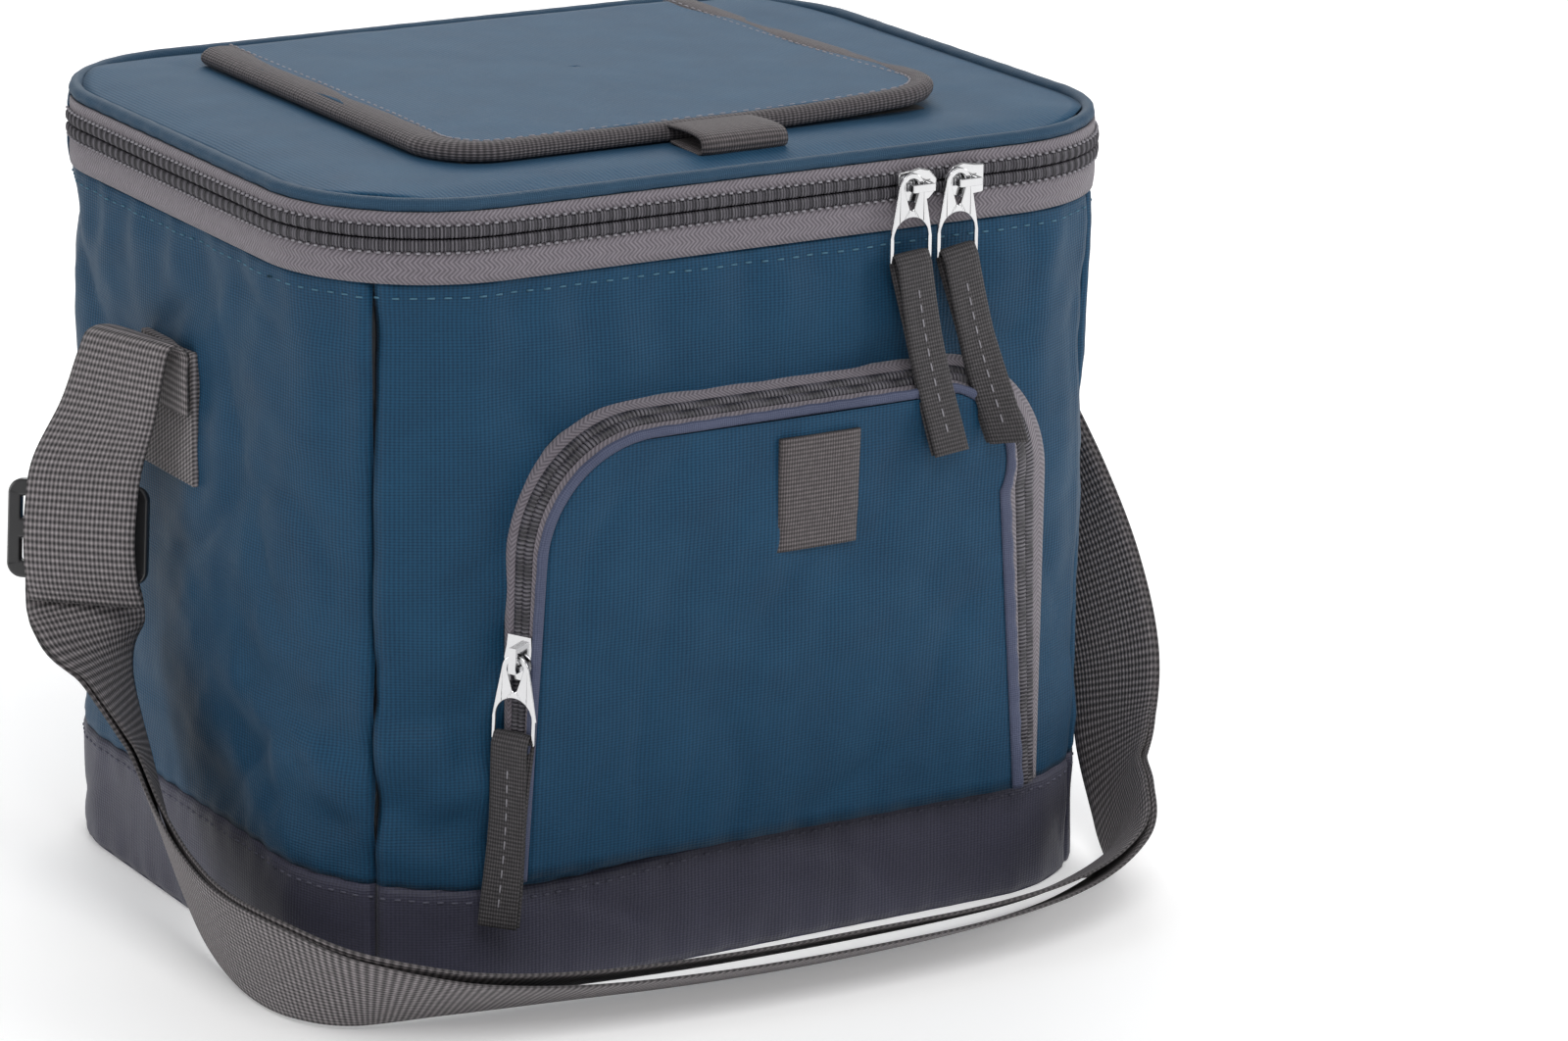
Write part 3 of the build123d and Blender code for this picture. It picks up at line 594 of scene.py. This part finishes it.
# ---- hatch flap
FY, FH = (FLAP_Y0 + FLAP_Y1) / 2, (FLAP_Y1 - FLAP_Y0) / 2


def flap_shape(t, inset=0.0):
    return rounded(t, FLAP_X - inset, FH - inset, (24 - inset, 1.5), FY)


def flap_height(X, Y):
    crown = 0.9 * np.cos(X / 97 * 1.3) * np.cos((Y - FY) / FH * 1.2)
    return FLAP_Z1 - 1.3 + crown + 0.30 * fuzz(X, Y, 60, 77)


def tiny(t):
    return rounded(t, 0.05, 0.05, (0.02, 0.02), FY)


FT = walk(0, 8, 3.0, flap_shape)[0][:-1]
flap_top = plate(
    "flap_top_cloth", FT, lambda t: flap_shape(t, 3), tiny, flap_height, LID_PAINTED_LIGHT_CLOTH, "hatch_flap",
    ["flap_top_panel", "flap_padding"], 34, flip=True, thick=1.6
)
plate(
    "flap_lining_film", FT, lambda t: flap_shape(t, 2), tiny,
    lambda X, Y: FLAP_Z0 + 1.3 + 0.25 * fuzz(X, Y, 40, 5),
    FILM, "hatch_flap", ["flap_lining"], 30, thick=0.7,
)
BT, BD = walk(-1.0, 4.0, 0.9, flap_shape)


def band(t):
    """The binding is wide on the two sides and narrow along the free edge."""
    return 1 - 0.5 * np.clip(np.minimum(t + 0.2, 3.2 - t), 0, 1)


bz = (FLAP_Z0 + FLAP_Z1) / 2
sec = [
    (-13.0, FLAP_Z1 - 0.8), (-13.2, FLAP_Z1 + 0.3), (-7, FLAP_Z1 + 0.8), (-3, FLAP_Z1 + 0.6),
    (-1.0, FLAP_Z1 - 0.4), (0.2, bz + 1.0), (0.4, bz), (0.1, bz - 1.2), (-1.2, FLAP_Z0 + 0.1),
    (-4, FLAP_Z0 + 0.2), (-4.2, FLAP_Z0 + 0.9), (-1.8, bz)
]
sweep(
    "flap_binding_webbing", BT, sec, BIND, "hatch_flap", ["flap_binding"], shape=flap_shape,
    ripple=0.1 * np.sin(2 * math.pi * BD / 3.4), widths=band(BT)
)
ring_stitches(
    "flap_binding_stitches", (-1.0, 4.0), lambda t: -11.2 * band(t), FLAP_Z1 + 0.6, 2.6, DOTS, "hatch_flap",
    4.4, shape=flap_shape, up=True, height=0.4
)


def soft_copy(node_name, new, mat, body, bevel):
    """The CAD node's own shape with rounded edges."""
    src = frame["nodes"][node_name]
    me = src.data.copy()
    me.materials.clear()
    me.materials.append(mat)
    if not me.uv_layers:
        me.uv_layers.new(name="UVMap")
    co = np.zeros(len(me.vertices) * 3)
    me.vertices.foreach_get("co", co)
    co = co.reshape(-1, 3)
    idx = np.zeros(len(me.loops), np.int32)
    me.loops.foreach_get("vertex_index", idx)
    c = co[idx]
    me.uv_layers[0].data.foreach_set(
        "uv", np.stack([c[:, 0] + c[:, 1], c[:, 2] + 0.6 * c[:, 1]], -1).astype(np.float32).ravel()
    )
    o = bpy.data.objects.new(new, me)
    bpy.context.scene.collection.objects.link(o)
    w = o.modifiers.new("weld", "WELD")
    w.merge_threshold = 0.00001
    b = o.modifiers.new("soft_edges", "BEVEL")
    b.width = bevel * 0.001
    b.segments = 3
    b.limit_method = "ANGLE"
    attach(o, body)
    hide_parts(node_name)
    return o


def ribbon(name, C, W, thick, mat, body, nodes, across=9, rounding=0.5):
    """Flat webbing through centre points C with half-width vectors W, closed all round."""
    C, W = np.asarray(C, float), np.asarray(W, float)
    T = np.gradient(C, axis=0)
    T /= np.linalg.norm(T, axis=1, keepdims=True)
    half = np.linalg.norm(W, axis=1, keepdims=True)
    N = np.cross(T, W / half)
    d = np.concatenate([[0], np.cumsum(np.linalg.norm(np.diff(C, axis=0), axis=1))])
    e = np.linspace(-1, 1, across)
    h = thick / 2 * (1 - rounding * np.abs(e) ** 6)
    top = C[:, None] + W[:, None] * e[None, :, None] + N[:, None] * h[None, :, None]
    bottom = C[:, None] + W[:, None] * e[None, ::-1, None] - N[:, None] * h[None, ::-1, None]
    P = ends(np.concatenate([top, bottom], 1))
    v = np.concatenate([(e + 1) * half.mean(), (3 - e) * half.mean()])
    d = np.concatenate([[d[0]], d, [d[-1]]])
    return grid(
        name, P, mat, body, nodes, wrap_v=True, uv=np.stack(np.meshgrid(d, v, indexing="ij"), -1),
        flip=True
    )


def smooth_path(points, step):
    """A Catmull-Rom curve through rows of numbers, resampled evenly by the first three."""
    p = np.asarray(points, float)
    q = np.concatenate([[2 * p[0] - p[1]], p, [2 * p[-1] - p[-2]]])
    out = []
    for i in range(len(p) - 1):
        a, b, c, d = q[i : i + 4]
        for f in np.linspace(0, 1, 12, endpoint=False):
            out.append(
                0.5 * (
                    2 * b + (c - a) * f + (2 * a - 5 * b + 4 * c - d) * f**2 + (3 * b - a - 3 * c + d) * f**3
                )
            )
    out = np.array(out + [p[-1]])
    s = np.concatenate([[0], np.cumsum(np.linalg.norm(np.diff(out[:, :3], axis=0), axis=1))])
    n = max(3, int(s[-1] / step) + 1)
    at = np.linspace(0, s[-1], n)
    return np.stack([np.interp(at, s, out[:, k]) for k in range(out.shape[1])], -1)


# the flap's pull tab: a webbing loop sewn under the free edge
tb0, tb1 = lo("flap_pull_tab"), hi("flap_pull_tab")
ty, tz = tb0[1], (tb0[2] + tb1[2]) / 2
loop = [
    (tb1[1] + 9, tz + 1.6), (tb1[1] - 2, tz + 2.6), (ty + 9, tz + 3.0), (ty + 2.6, tz + 2.2),
    (ty + 0.8, tz - 0.6), (ty + 2.6, tz - 2.9), (ty + 9, tz - 3.1), (tb1[1] - 1, tz - 2.4)
]
lp = smooth_path([(1.0, a, b) for a, b in loop], 1.0)
ribbon(
    "flap_tab_webbing", lp, np.tile([16.0, 0, 0], (len(lp), 1)), 1.3, TABW, "hatch_flap", ["flap_pull_tab"],
)

# plug: a stuffed box under the flap
pb0, pb1 = lo("plug_cover"), hi("plug_cover")
px, py0, py1 = HOLE_X - 3, HOLE_Y0 + 3, HOLE_Y1 - 3


def plug_shape(t):
    return rounded(t, px, (py1 - py0) / 2, (7, 7), (py0 + py1) / 2)


pt = walk(0, 8, 2.5, plug_shape)[0][:-1]
x, y, nx, ny = plug_shape(pt)
prof = [
    (1.2, pb1[2] - 0.3), (-0.6, pb1[2] - 1.4), (-0.5, pb1[2] - 6), (-0.9, pb0[2] + 3), (-2.6, pb0[2] + 0.9)
]
rows = [np.stack([x + nx * g, y + ny * g, 0 * x + z], -1) for g, z in prof]
middle = np.array([0.0, (py0 + py1) / 2, pb0[2]])
for f in np.linspace(0, 1, 16)[1:]:
    row = rows[len(prof) - 1] * (1 - f) + middle * f
    row[:, 2] = pb0[2] + 0.9 - 2.2 * math.sin(f * math.pi / 2)
    rows.append(row)
P = np.stack(rows, 1)
P[:, :, 2] += 0.25 * fuzz(P[..., 0], P[..., 1], 22, 8)
plug = grid(
    "plug_film", P, FILM, "hatch_flap", ["plug_cover", "plug_foam"], wrap_u=True, thick=0.7,
    flip=True
)
sweep(
    "plug_flange", pt, [(-1, pb1[2] - 0.9), (3.0, pb1[2] - 0.8), (3.2, pb1[2] - 0.4), (-1, pb1[2] - 0.1)],
    FILM, "hatch_flap", shape=plug_shape, closed=True
)
HOOK_WIDTH = 18.0


def hook_tapes(node_name, new, body):
    """Three strips round the hatch: left, right and front."""
    a, b = lo(node_name), hi(node_name)
    z, h = (a[2] + b[2]) / 2, HOOK_WIDTH / 2
    ys, xs = np.linspace(HOLE_Y0, b[1], 40), np.linspace(a[0], b[0], 60)
    runs = {
        "left": [(a[0] + h, v, z) for v in ys], "right": [(b[0] - h, v, z) for v in ys],
        "front": [(v, a[1] + h, z) for v in xs],
    }
    for label, run in runs.items():
        w = (0, h, 0) if label == "front" else (h, 0, 0)
        ribbon(
            new + "_" + label, run, np.tile(w, (len(run), 1)), b[2] - a[2], HOOK, body,
            [node_name] if label == "left" else (), rounding=0.3
        )


hook_tapes("flap_hook_strips", "flap_hook_tape", "hatch_flap")
hook_tapes("hatch_loop_strips", "hatch_loop_tape", "lid")

for label in (
    "top_cloth", "lining_film", "binding_webbing", "binding_stitches", "hook_tape_left", "hook_tape_right",
    "hook_tape_front"
):
    me = bpy.data.objects["flap_" + label].data
    co = np.zeros(len(me.vertices) * 3)
    me.vertices.foreach_get("co", co)
    co = co.reshape(-1, 3)
    across = np.clip((co[:, 0] * 1000 - 10) / (FLAP_X - 10), 0, 1)
    forward = np.clip((FLAP_Y1 - co[:, 1] * 1000 - 60) / (FLAP_Y1 - FLAP_Y0 - 60), 0, 1)
    co[:, 2] += 0.0035 * across**2 * forward
    me.vertices.foreach_set("co", co.ravel())
    me.update()

# ---- inside of the bag
lt0, lt1 = lo("liner_tub"), hi("liner_tub")
tl = walk(0, 8, 3.0)[0][:-1]
x, y, nx, ny = bag(tl)
zz = np.linspace(lt0[2] + 1.2, lt1[2], 60)
S = np.broadcast_to(np.arange(len(tl))[:, None] * 3.0, (len(tl), 60))
Z = np.broadcast_to(zz[None], S.shape)
g = -7.2 - 0.6 * creases(S, Z, 60, 4) + 0.3 * fuzz(S, Z, 30, 6)
P = np.stack([x[:, None] + nx[:, None] * g, y[:, None] + ny[:, None] * g, Z], -1)
grid("liner_wall_film", P, FILM, "shell", ["liner_tub"], wrap_u=True, thick=0.6)
plate(
    "liner_floor_film", tl, lambda t: rounded(t, HX - 7, HY - 7, (R - 7, R - 7)), lambda t: rounded(
        t, 0.05, 0.05, (0.02, 0.02)
    ),
    lambda X, Y: lt0[2] + 1.2 + 0.4 * fuzz(X, Y, 50, 14),
    FILM, "shell", (), 30, flip=True, thick=0.7,
)
rz0, rz1 = lo("rim_binding")[2], hi("rim_binding")[2]
sweep(
    "rim_binding_cloth", TL[:-1], oval(-4.9, (rz0 + rz1) / 2, 2.6, 1.4, 12, 3), BIND, "shell",
    ["rim_binding"], closed=True
)
for n, m in (("base_panel", UNDER), ("base_board", BOARD), ("base_foam", FOAM)):
    frame["nodes"][n].data.materials.clear()
    frame["nodes"][n].data.materials.append(m)

# ---- front pocket
PX0, PX1 = lo("pocket_outer_tape")[0], hi("pocket_outer_tape")[0]
PZ1 = hi("pocket_outer_tape")[2]
PZ0 = lo("pocket_outer_tape")[2]
FACE = -HY - 0.3
PR = 45.0
PH = PZ1 - PZ0


def arch(t, inset):
    """The pocket's outline: t 0-1 up the left leg, 1-2 corner, 2-3 top, 3-4 corner, 4-5 right leg."""
    t = np.asarray(t, float)
    left, right, top = PX0 + inset, PX1 - inset, PZ1 - inset
    r = PR - inset
    f = t - np.floor(t)
    k = np.clip(np.floor(t), 0, 4)
    f = np.where(t >= 5, 1.0, f)
    a = f * math.pi / 2
    x = np.select(
        [k == 0, k == 1, k == 2, k == 3],
        [left, left + r - r * np.cos(a), left + r + (right - left - 2 * r) * f, right - r + r * np.sin(a)],
        right
    )
    z = np.select(
        [k == 0, k == 1, k == 2, k == 3],
        [PZ0 + (top - r - PZ0) * f, top - r + r * np.sin(a), top, top - r + r * np.cos(a)],
        top - r - (top - r - PZ0) * f
    )
    return x, z


def slant(t):
    """How far the wall leans in: the right leg lies flatter than the left."""
    return 0.55 + 1.45 * np.clip(np.asarray(t) - 3, 0, 1)


def depth_at(pair, z):
    return pair[0] + (pair[1] - pair[0]) * np.clip((z - PZ0) / PH, 0, 1)


def pocket_point(t, pair, lift=0.0):
    """A point on the slanted wall at a depth given at the bottom and at the top."""
    inset = np.zeros_like(t)
    for _ in range(4):
        x, z = arch(t, inset)
        inset = slant(t) * depth_at(pair, z)
    x, z = arch(t, inset - lift * 0.8)
    return x, FACE - depth_at(pair, z) - lift * 0.5, z


def pocket_walk(step):
    t = np.linspace(0, 5, 3000)
    x, z = arch(t, 5.0)
    d = np.concatenate([[0], np.cumsum(np.hypot(np.diff(x), np.diff(z)))])
    s = np.linspace(0, d[-1], int(d[-1] / step) + 1)
    return np.interp(s, d, t), s


def pocket_strip(name, a, b, mat, body, nodes, step, lift=0.0, ribs=None, rows=7, bulge=1.0):
    t, s = pocket_walk(step)
    cols = []
    for f in np.linspace(0, 1, rows):
        pair = (a[0] + (b[0] - a[0]) * f, a[1] + (b[1] - a[1]) * f)
        raise_by = lift + bulge * math.sin(math.pi * f)
        r = raise_by + (0 if ribs is None else ribs(s) * math.sin(math.pi * f))
        cols.append(np.stack(pocket_point(t, pair, r), -1))
    return grid(name, np.stack(cols, 1), mat, body, nodes, thick=0.8, flip=False)


def coil_ribs(s):
    return 0.3 * np.sin(2 * math.pi * s / 1.5)


pocket_strip(
    "pocket_outer_tape_weave", (0, 0), (1.5, 4.8), TAPE, "shell", ["pocket_outer_tape"], 2.5, 0.1,
    bulge=0.3
)
pocket_strip(
    "pocket_outer_coil_ribbed", (1.5, 4.8), (2.75, 7.55), COIL, "shell", ["pocket_outer_coil"],
    0.5, 0.3, coil_ribs, bulge=1.1
)
pocket_strip(
    "pocket_inner_coil_ribbed", (3.0, 7.85), (4.2, 10.6), COIL, "pocket", ["pocket_inner_coil"],
    0.5, 0.3, coil_ribs, bulge=1.1
)
pocket_strip(
    "pocket_inner_tape_weave", (4.2, 10.6), (4.9, 13.9), TAPE, "pocket", ["pocket_inner_tape"],
    2.5, 0.1, bulge=0.3
)
pocket_strip(
    "pocket_piping_cord", (4.7, 13.6), (6.6, 15.6), PPIPE, "pocket", ["pocket_piping"], 1.6,
    0.2, lambda s: 0.2 * np.sin(s / 1.7), 9, 2.0
)


def pocket_dots(name, pair, body):
    t, s = pocket_walk(3.0)
    P = np.stack(pocket_point(t, pair, 0.5), -1)
    T = np.gradient(P, axis=0)
    cx = (PX0 + PX1) / 2
    N = np.stack([np.sign(P[:, 0] - cx) * 0.8, -0.8 + 0 * t, np.where(P[:, 2] > PZ1 - 20, 0.8, 0.0)], -1)
    dashes(name, P, N, T, 1.5, 0.9, 0.4, DOTS, body)


pocket_dots("pocket_outer_thread", (1.5, 4.7), "shell")
pocket_dots("pocket_inner_thread", (4.2, 10.7), "pocket")

rows = 56
zs = np.linspace(0, 1, rows) ** 0.85
ztop = pocket_point(np.array([2.5]), (6.0, 15.0))[2][0]
tt = np.linspace(0, 2.5, 700)
lx, _, lz = pocket_point(tt, (6.0, 15.0))
rx, _, rzz = pocket_point(5 - tt, (6.0, 15.0))
ZR = PZ0 + 0.2 + (ztop - 1.0 - PZ0) * zs
XL, XR = np.interp(ZR, lz, lx) + 0.5, np.interp(ZR, rzz, rx) - 0.5
U = np.linspace(0, 1, 76)
X = XL[:, None] + (XR - XL)[:, None] * U[None]
Z = np.broadcast_to(ZR[:, None], X.shape)
V = (Z - PZ0) / PH
rim = np.minimum(np.minimum(X - XL[:, None], XR[:, None] - X), np.minimum(ztop - Z, Z - PZ0 + 4))
soft = np.clip(rim / 16, 0, 1) ** 0.8
bulge = 3.4 * np.sin(math.pi * U)[None] * np.sin(math.pi * np.clip(V * 0.95, 0, 1)) + soft * (
    1.5 * fuzz(X, Z, 100, 41) + 0.7 * fuzz(X, Z * 0.8, 38, 42) - 1.1 * creases(X * 0.8, Z, 120, 43)
)
bulge = bulge + 0.3 * np.sin(X / 2.2) * np.exp(-np.clip(Z - PZ0, 0, None) / 8)
Y = FACE - depth_at((6.0, 15.0), Z) - bulge
grid(
    "pocket_panel_cloth", np.stack([X, Y, Z], -1), BODY, "pocket", ["pocket_panel"],
    uv=np.stack([X, Z], -1), thick=1.1
)


def pocket_front(x, z):
    """The pocket cloth's surface at x, z."""
    i = int(np.argmin(np.abs(ZR - z)))
    j = int(np.argmin(np.abs(X[i] - x)))
    return Y[i, j]


tb0, tb1 = lo("pocket_tab"), hi("pocket_tab")
cx = (tb0[0] + tb1[0]) / 2
tp = []
for f in np.linspace(0, 1, 14):
    z = tb1[2] + (tb0[2] - tb1[2]) * f
    tp.append((cx, pocket_front(cx, z) - 1.3, z))
tp = smooth_path(tp, 2.0)
ribbon(
    "pocket_tab_webbing", tp, np.tile([15.0, 0, 0], (len(tp), 1)), 2.4, TABW, "pocket", ["pocket_tab"],
    rounding=0.3
)

# ---- sliders, pulls and their webbing pullers
PULLER_LENGTH, PULLER_HALF, PULLER_PLY = 62, 6.4, 1.25
for side in ("left", "right"):
    soft_copy("slider_" + side, "slider_metal_" + side, CHROME, "main_slider_" + side, 0.45)
    soft_copy("pull_" + side, "pull_metal_" + side, CHROME, "main_pull_" + side, 0.3)
soft_copy("pocket_slider", "slider_metal_pocket", CHROME, "pocket_slider", 0.45)
soft_copy("pocket_pull", "pull_metal_pocket", CHROME, "pocket_pull", 0.3)

JOINTS = {j["name"]: j for j in frame["joints"]}


def puller(name, joint, down, out, lean, twist, body, node_name):
    """A doubled webbing strip folded over the pull's foot bar."""
    at = np.array(JOINTS[joint]["pos_m"]) * 1000
    down, out = (np.asarray(v, float) / np.linalg.norm(v) for v in (down, out))
    wide = np.cross(out, down)
    for k, s in enumerate((1, -1)):
        f = np.linspace(0, 1, 40)[:, None]
        off = s * (1.55 * (1 - f) ** 3 + 0.72)
        C = at + down * PULLER_LENGTH * f + out * (off + lean * (f**1.3)) + 0.5 * out * np.sin(f * 7 + s)
        start = [at - down * 1.9 + out * 0.2 * s, at - down * 1.7 + out * s * 1.2]
        C = np.concatenate([np.array(start), C[1:]])
        ang = twist * np.clip((np.linspace(0, 1, len(C)) - 0.45) / 0.55, 0, 1)[:, None]
        W = PULLER_HALF * (wide * np.cos(ang) + out * np.sin(ang))
        ribbon(f"{name}_{k}", C, W, PULLER_PLY, PULLW, body, [node_name] if k == 0 else (), across=7)
        if k == 0:
            T = np.gradient(C, axis=0)
            face = np.cross(W, T)
            face = face * np.sign((face * out).sum(1, keepdims=True))
            face /= np.linalg.norm(face, axis=1, keepdims=True)
            pick = slice(8, 38, 3)
            dashes(
                name + "_stitches", (C + face * 0.65)[pick], face[pick], T[pick], 3.0, 0.6, 0.3, DOTS, body,
            )


puller(
    "puller_webbing_left", "left_puller_lift", (0.10, 0, -1), (0, -1, 0), 17, 0.0, "main_puller_left",
    "puller_left"
)
puller(
    "puller_webbing_right", "right_puller_lift", (0.17, 0, -1), (0, -1, 0), 17, 0.7, "main_puller_right",
    "puller_right"
)
fr = np.array(JOINTS["pocket_slider_slide"]["axis"])
ax = np.array(JOINTS["pocket_pull_lift"]["axis"])
puller(
    "puller_webbing_pocket", "pocket_puller_lift", fr, np.cross(ax, fr), 5, -0.2, "pocket_puller",
    "pocket_puller"
)

# ---- shoulder strap
STRAP_HALF, STRAP_PLY = 19, 1.5
# each row: the middle between the plies, the half-width direction, and the gap between the plies
STRAP = [
    (-177.5, 16.6, 128, -28, 26, 0, 2.0), (-178.8, 15.2, 113.5, -28, 26, 0, 2.0), (
        -179.5, 6, 101, -36, 4, 7, 2.0
    ),
    (-177, 0, 88, -28, -22, 10, 2.2), (-171, -10, 63, -20, -28, 16, 2.4), (-170, -28, 40, -16, -20, 28, 2.4),
    (-171, -54, 25, -12, -6, 36, 2.4), (-172, -84, 20, -10, 0, 35, 2.4), (-168, -114, 20, -10, -8, 34, 2.6),
    (-153, -136, 18, -12, -20, 30, 3.0), (-125, -147, 15, -14, -28, 22, 3.6), (
        -88, -154, 13, -10, -33, 18, 4.4
    ),
    (-40, -161, 12.5, -4, -34, 17, 5.2), (10, -164, 12.5, 0, -34, 17, 5.6), (60, -163, 12.5, 2, -34, 17, 5.0),
    (98, -156, 13, 8, -33, 20, 4.0), (124, -147, 17, 10, -28, 26, 3.2), (141, -133, 21, 4, -16, 33, 2.6),
    (152, -112, 26, 4, -18, 30, 2.4), (160, -96, 42, 10, -25, 24, 2.4), (166, -84, 66, 14, -30, 18, 2.4),
    (168, -68, 92, 14, -34, 12, 2.4), (167, -50, 118, 10, -36, 6, 2.4), (164, -26, 148, 6, -36, 8, 2.4),
    (161, -6, 172, 3, -37, 6, 2.4),
]
sp = smooth_path(STRAP, 2.0)
C, W, GAP = sp[:, :3], sp[:, 3:6], sp[:, 6:7]
T = np.gradient(C, axis=0)
T /= np.linalg.norm(T, axis=1, keepdims=True)
W = W - T * (W * T).sum(1, keepdims=True)
W = STRAP_HALF * W / np.linalg.norm(W, axis=1, keepdims=True)
N = np.cross(T, W / STRAP_HALF)
outer = ribbon(
    "strap_outer_webbing", C - N * GAP / 2, W, STRAP_PLY, WEB, "strap", ["strap_outer_ply"], across=13
)
inner = ribbon(
    "strap_inner_webbing", C + N * GAP / 2, W, STRAP_PLY, WEB, "strap", ["strap_inner_ply"], across=13
)

LEFT = [
    (-154.6, 2, 176, 0, 38, 0), (-154.7, 2, 190, 0, 38, 0), (-156, 3, 196, -4, 37, 0), (-160, 4, 199, -8, 36, 0),
    (-165, 5, 198, -12, 35, 0), (-168, 5, 191, -14, 35, 0), (-172.5, 6, 175, -18, 33, 0), (
        -179, 8.6, 157, -27, 27, 0
    ),
    (-182.4, 6.8, 143, -28, 26, 0), (-183.8, 5.6, 131, -28, 26, 0), (-183.0, 6.0, 119, -29, 25, 0), (
        -180.6, 7.5, 110, -30, 23, 1
    ),
]
RIGHT = [
    (154.6, 2, 176, 0, -38, 0), (154.7, 2, 190, 0, -38, 0), (155.8, 2, 195.5, 1, -38, 0), (
        158.4, 2, 198.6, 1, -38, 0
    ),
    (162.2, 1.5, 198.2, 1, -38, 0), (164.6, 1, 194, 1, -38, 2), (165.4, 0, 186, 2, -38, 3), (
        165.0, -4, 176, 3, -37, 5
    ),
]
for name, pts in (("left", LEFT), ("right", RIGHT)):
    q = smooth_path(pts, 1.5)
    w = q[:, 3:6] / np.linalg.norm(q[:, 3:6], axis=1, keepdims=True) * STRAP_HALF
    ribbon(
        "anchor_webbing_" + name, q[:, :3], w, STRAP_PLY, WEB, "strap", ["anchor_loop_" + name],
        across=11
    )
soft_copy("strap_patches", "strap_patch_webbing", WEB, "shell", 0.5)
soft_copy("strap_adjuster", "adjuster_moulding", PLASTIC, "strap", 0.8)

# ---- floor, lights and camera
AZIMUTH, ELEVATION, ROLL, LENS = -31.5575, 16.6233, 0.9387, 132.76
EYE = (-0.93319, -1.65429, 0.68262)
floor_mat, nt, p = material("studio_floor", 0.8)
p.inputs["Emission Color"].default_value = (1, 1, 1, 1)
p.inputs["Emission Strength"].default_value = 0.22
co = node(nt, "ShaderNodeTexCoord").outputs["Object"]
nt.links.new(mix(nt, noise(nt, co, 3.0), (0.90, 0.90, 0.90), (0.92, 0.92, 0.92)), p.inputs["Base Color"])
fy = np.concatenate(
    [np.linspace(-4, 3, 20), 3 + 1.2 * np.sin(np.linspace(0, math.pi / 2, 12)[1:]), np.full(6, 4.2)]
)
fz = np.concatenate(
    [np.zeros(20), 1.2 - 1.2 * np.cos(np.linspace(0, math.pi / 2, 12)[1:]), np.linspace(1.6, 5, 6)]
)
A = math.radians(AZIMUTH)
fx = np.linspace(-6, 6, 13)
P = np.array(
    [
        [
            (u * math.cos(A) - v * math.sin(A), u * math.sin(A) + v * math.cos(A), w) for v, w in zip(fy, fz)
        ] for u in fx
    ]
) * 1000
me = bpy.data.meshes.new("studio_floor")
n, m = P.shape[:2]
me.from_pydata(
    (P.reshape(-1, 3) / 1000).tolist(), [],
    [
        (
            i * m + j, (i + 1) * m + j, (i + 1) * m + j + 1, i * m + j + 1
        ) for i in range(n - 1) for j in range(m - 1)
    ]
)
me.materials.append(floor_mat)
me.polygons.foreach_set("use_smooth", [True] * len(me.polygons))
floor = bpy.data.objects.new("studio_floor", me)
bpy.context.scene.collection.objects.link(floor)


def area(name, where, target, size, power, colour=(1, 1, 1)):
    light = bpy.data.lights.new(name, "AREA")
    light.size = size
    light.energy = power
    light.color = colour
    o = bpy.data.objects.new(name, light)
    bpy.context.scene.collection.objects.link(o)
    o.location = where
    o.rotation_euler = (Vector(target) - Vector(where)).to_track_quat("-Z", "Y").to_euler()


MID = (0, 0, 0.13)
area("key", (-0.5, -1.5, 1.9), MID, 1.2, 21)
area("fill_right", (1.8, -1.2, 0.9), MID, 1.0, 14)
area("fill_left", (-2.0, 0.2, 0.35), MID, 0.9, 7)
area("top", (0.5, 1.3, 1.5), MID, 1.4, 17)
world = bpy.data.worlds.new("studio")
world.use_nodes = True
world.node_tree.nodes["Background"].inputs[0].default_value = (1, 1, 1, 1)
world.node_tree.nodes["Background"].inputs[1].default_value = 0.42
bpy.context.scene.world = world
bpy.context.scene.view_settings.view_transform = "Standard"

e, roll = math.radians(ELEVATION), math.radians(ROLL)
back = Vector((math.sin(A) * math.cos(e), -math.cos(A) * math.cos(e), math.sin(e)))
right = Vector((math.cos(A), math.sin(A), 0))
up = back.cross(right)
right2 = right * math.cos(roll) + up * math.sin(roll)
up2 = up * math.cos(roll) - right * math.sin(roll)
cam = bpy.data.cameras.new("camera")
cam.lens = LENS
cam.sensor_width = 36
camera = bpy.data.objects.new("camera", cam)
bpy.context.scene.collection.objects.link(camera)
rot = Matrix((right2, up2, back)).transposed().to_4x4()
camera.matrix_world = Matrix.Translation(EYE) @ rot
bpy.context.scene.camera = camera
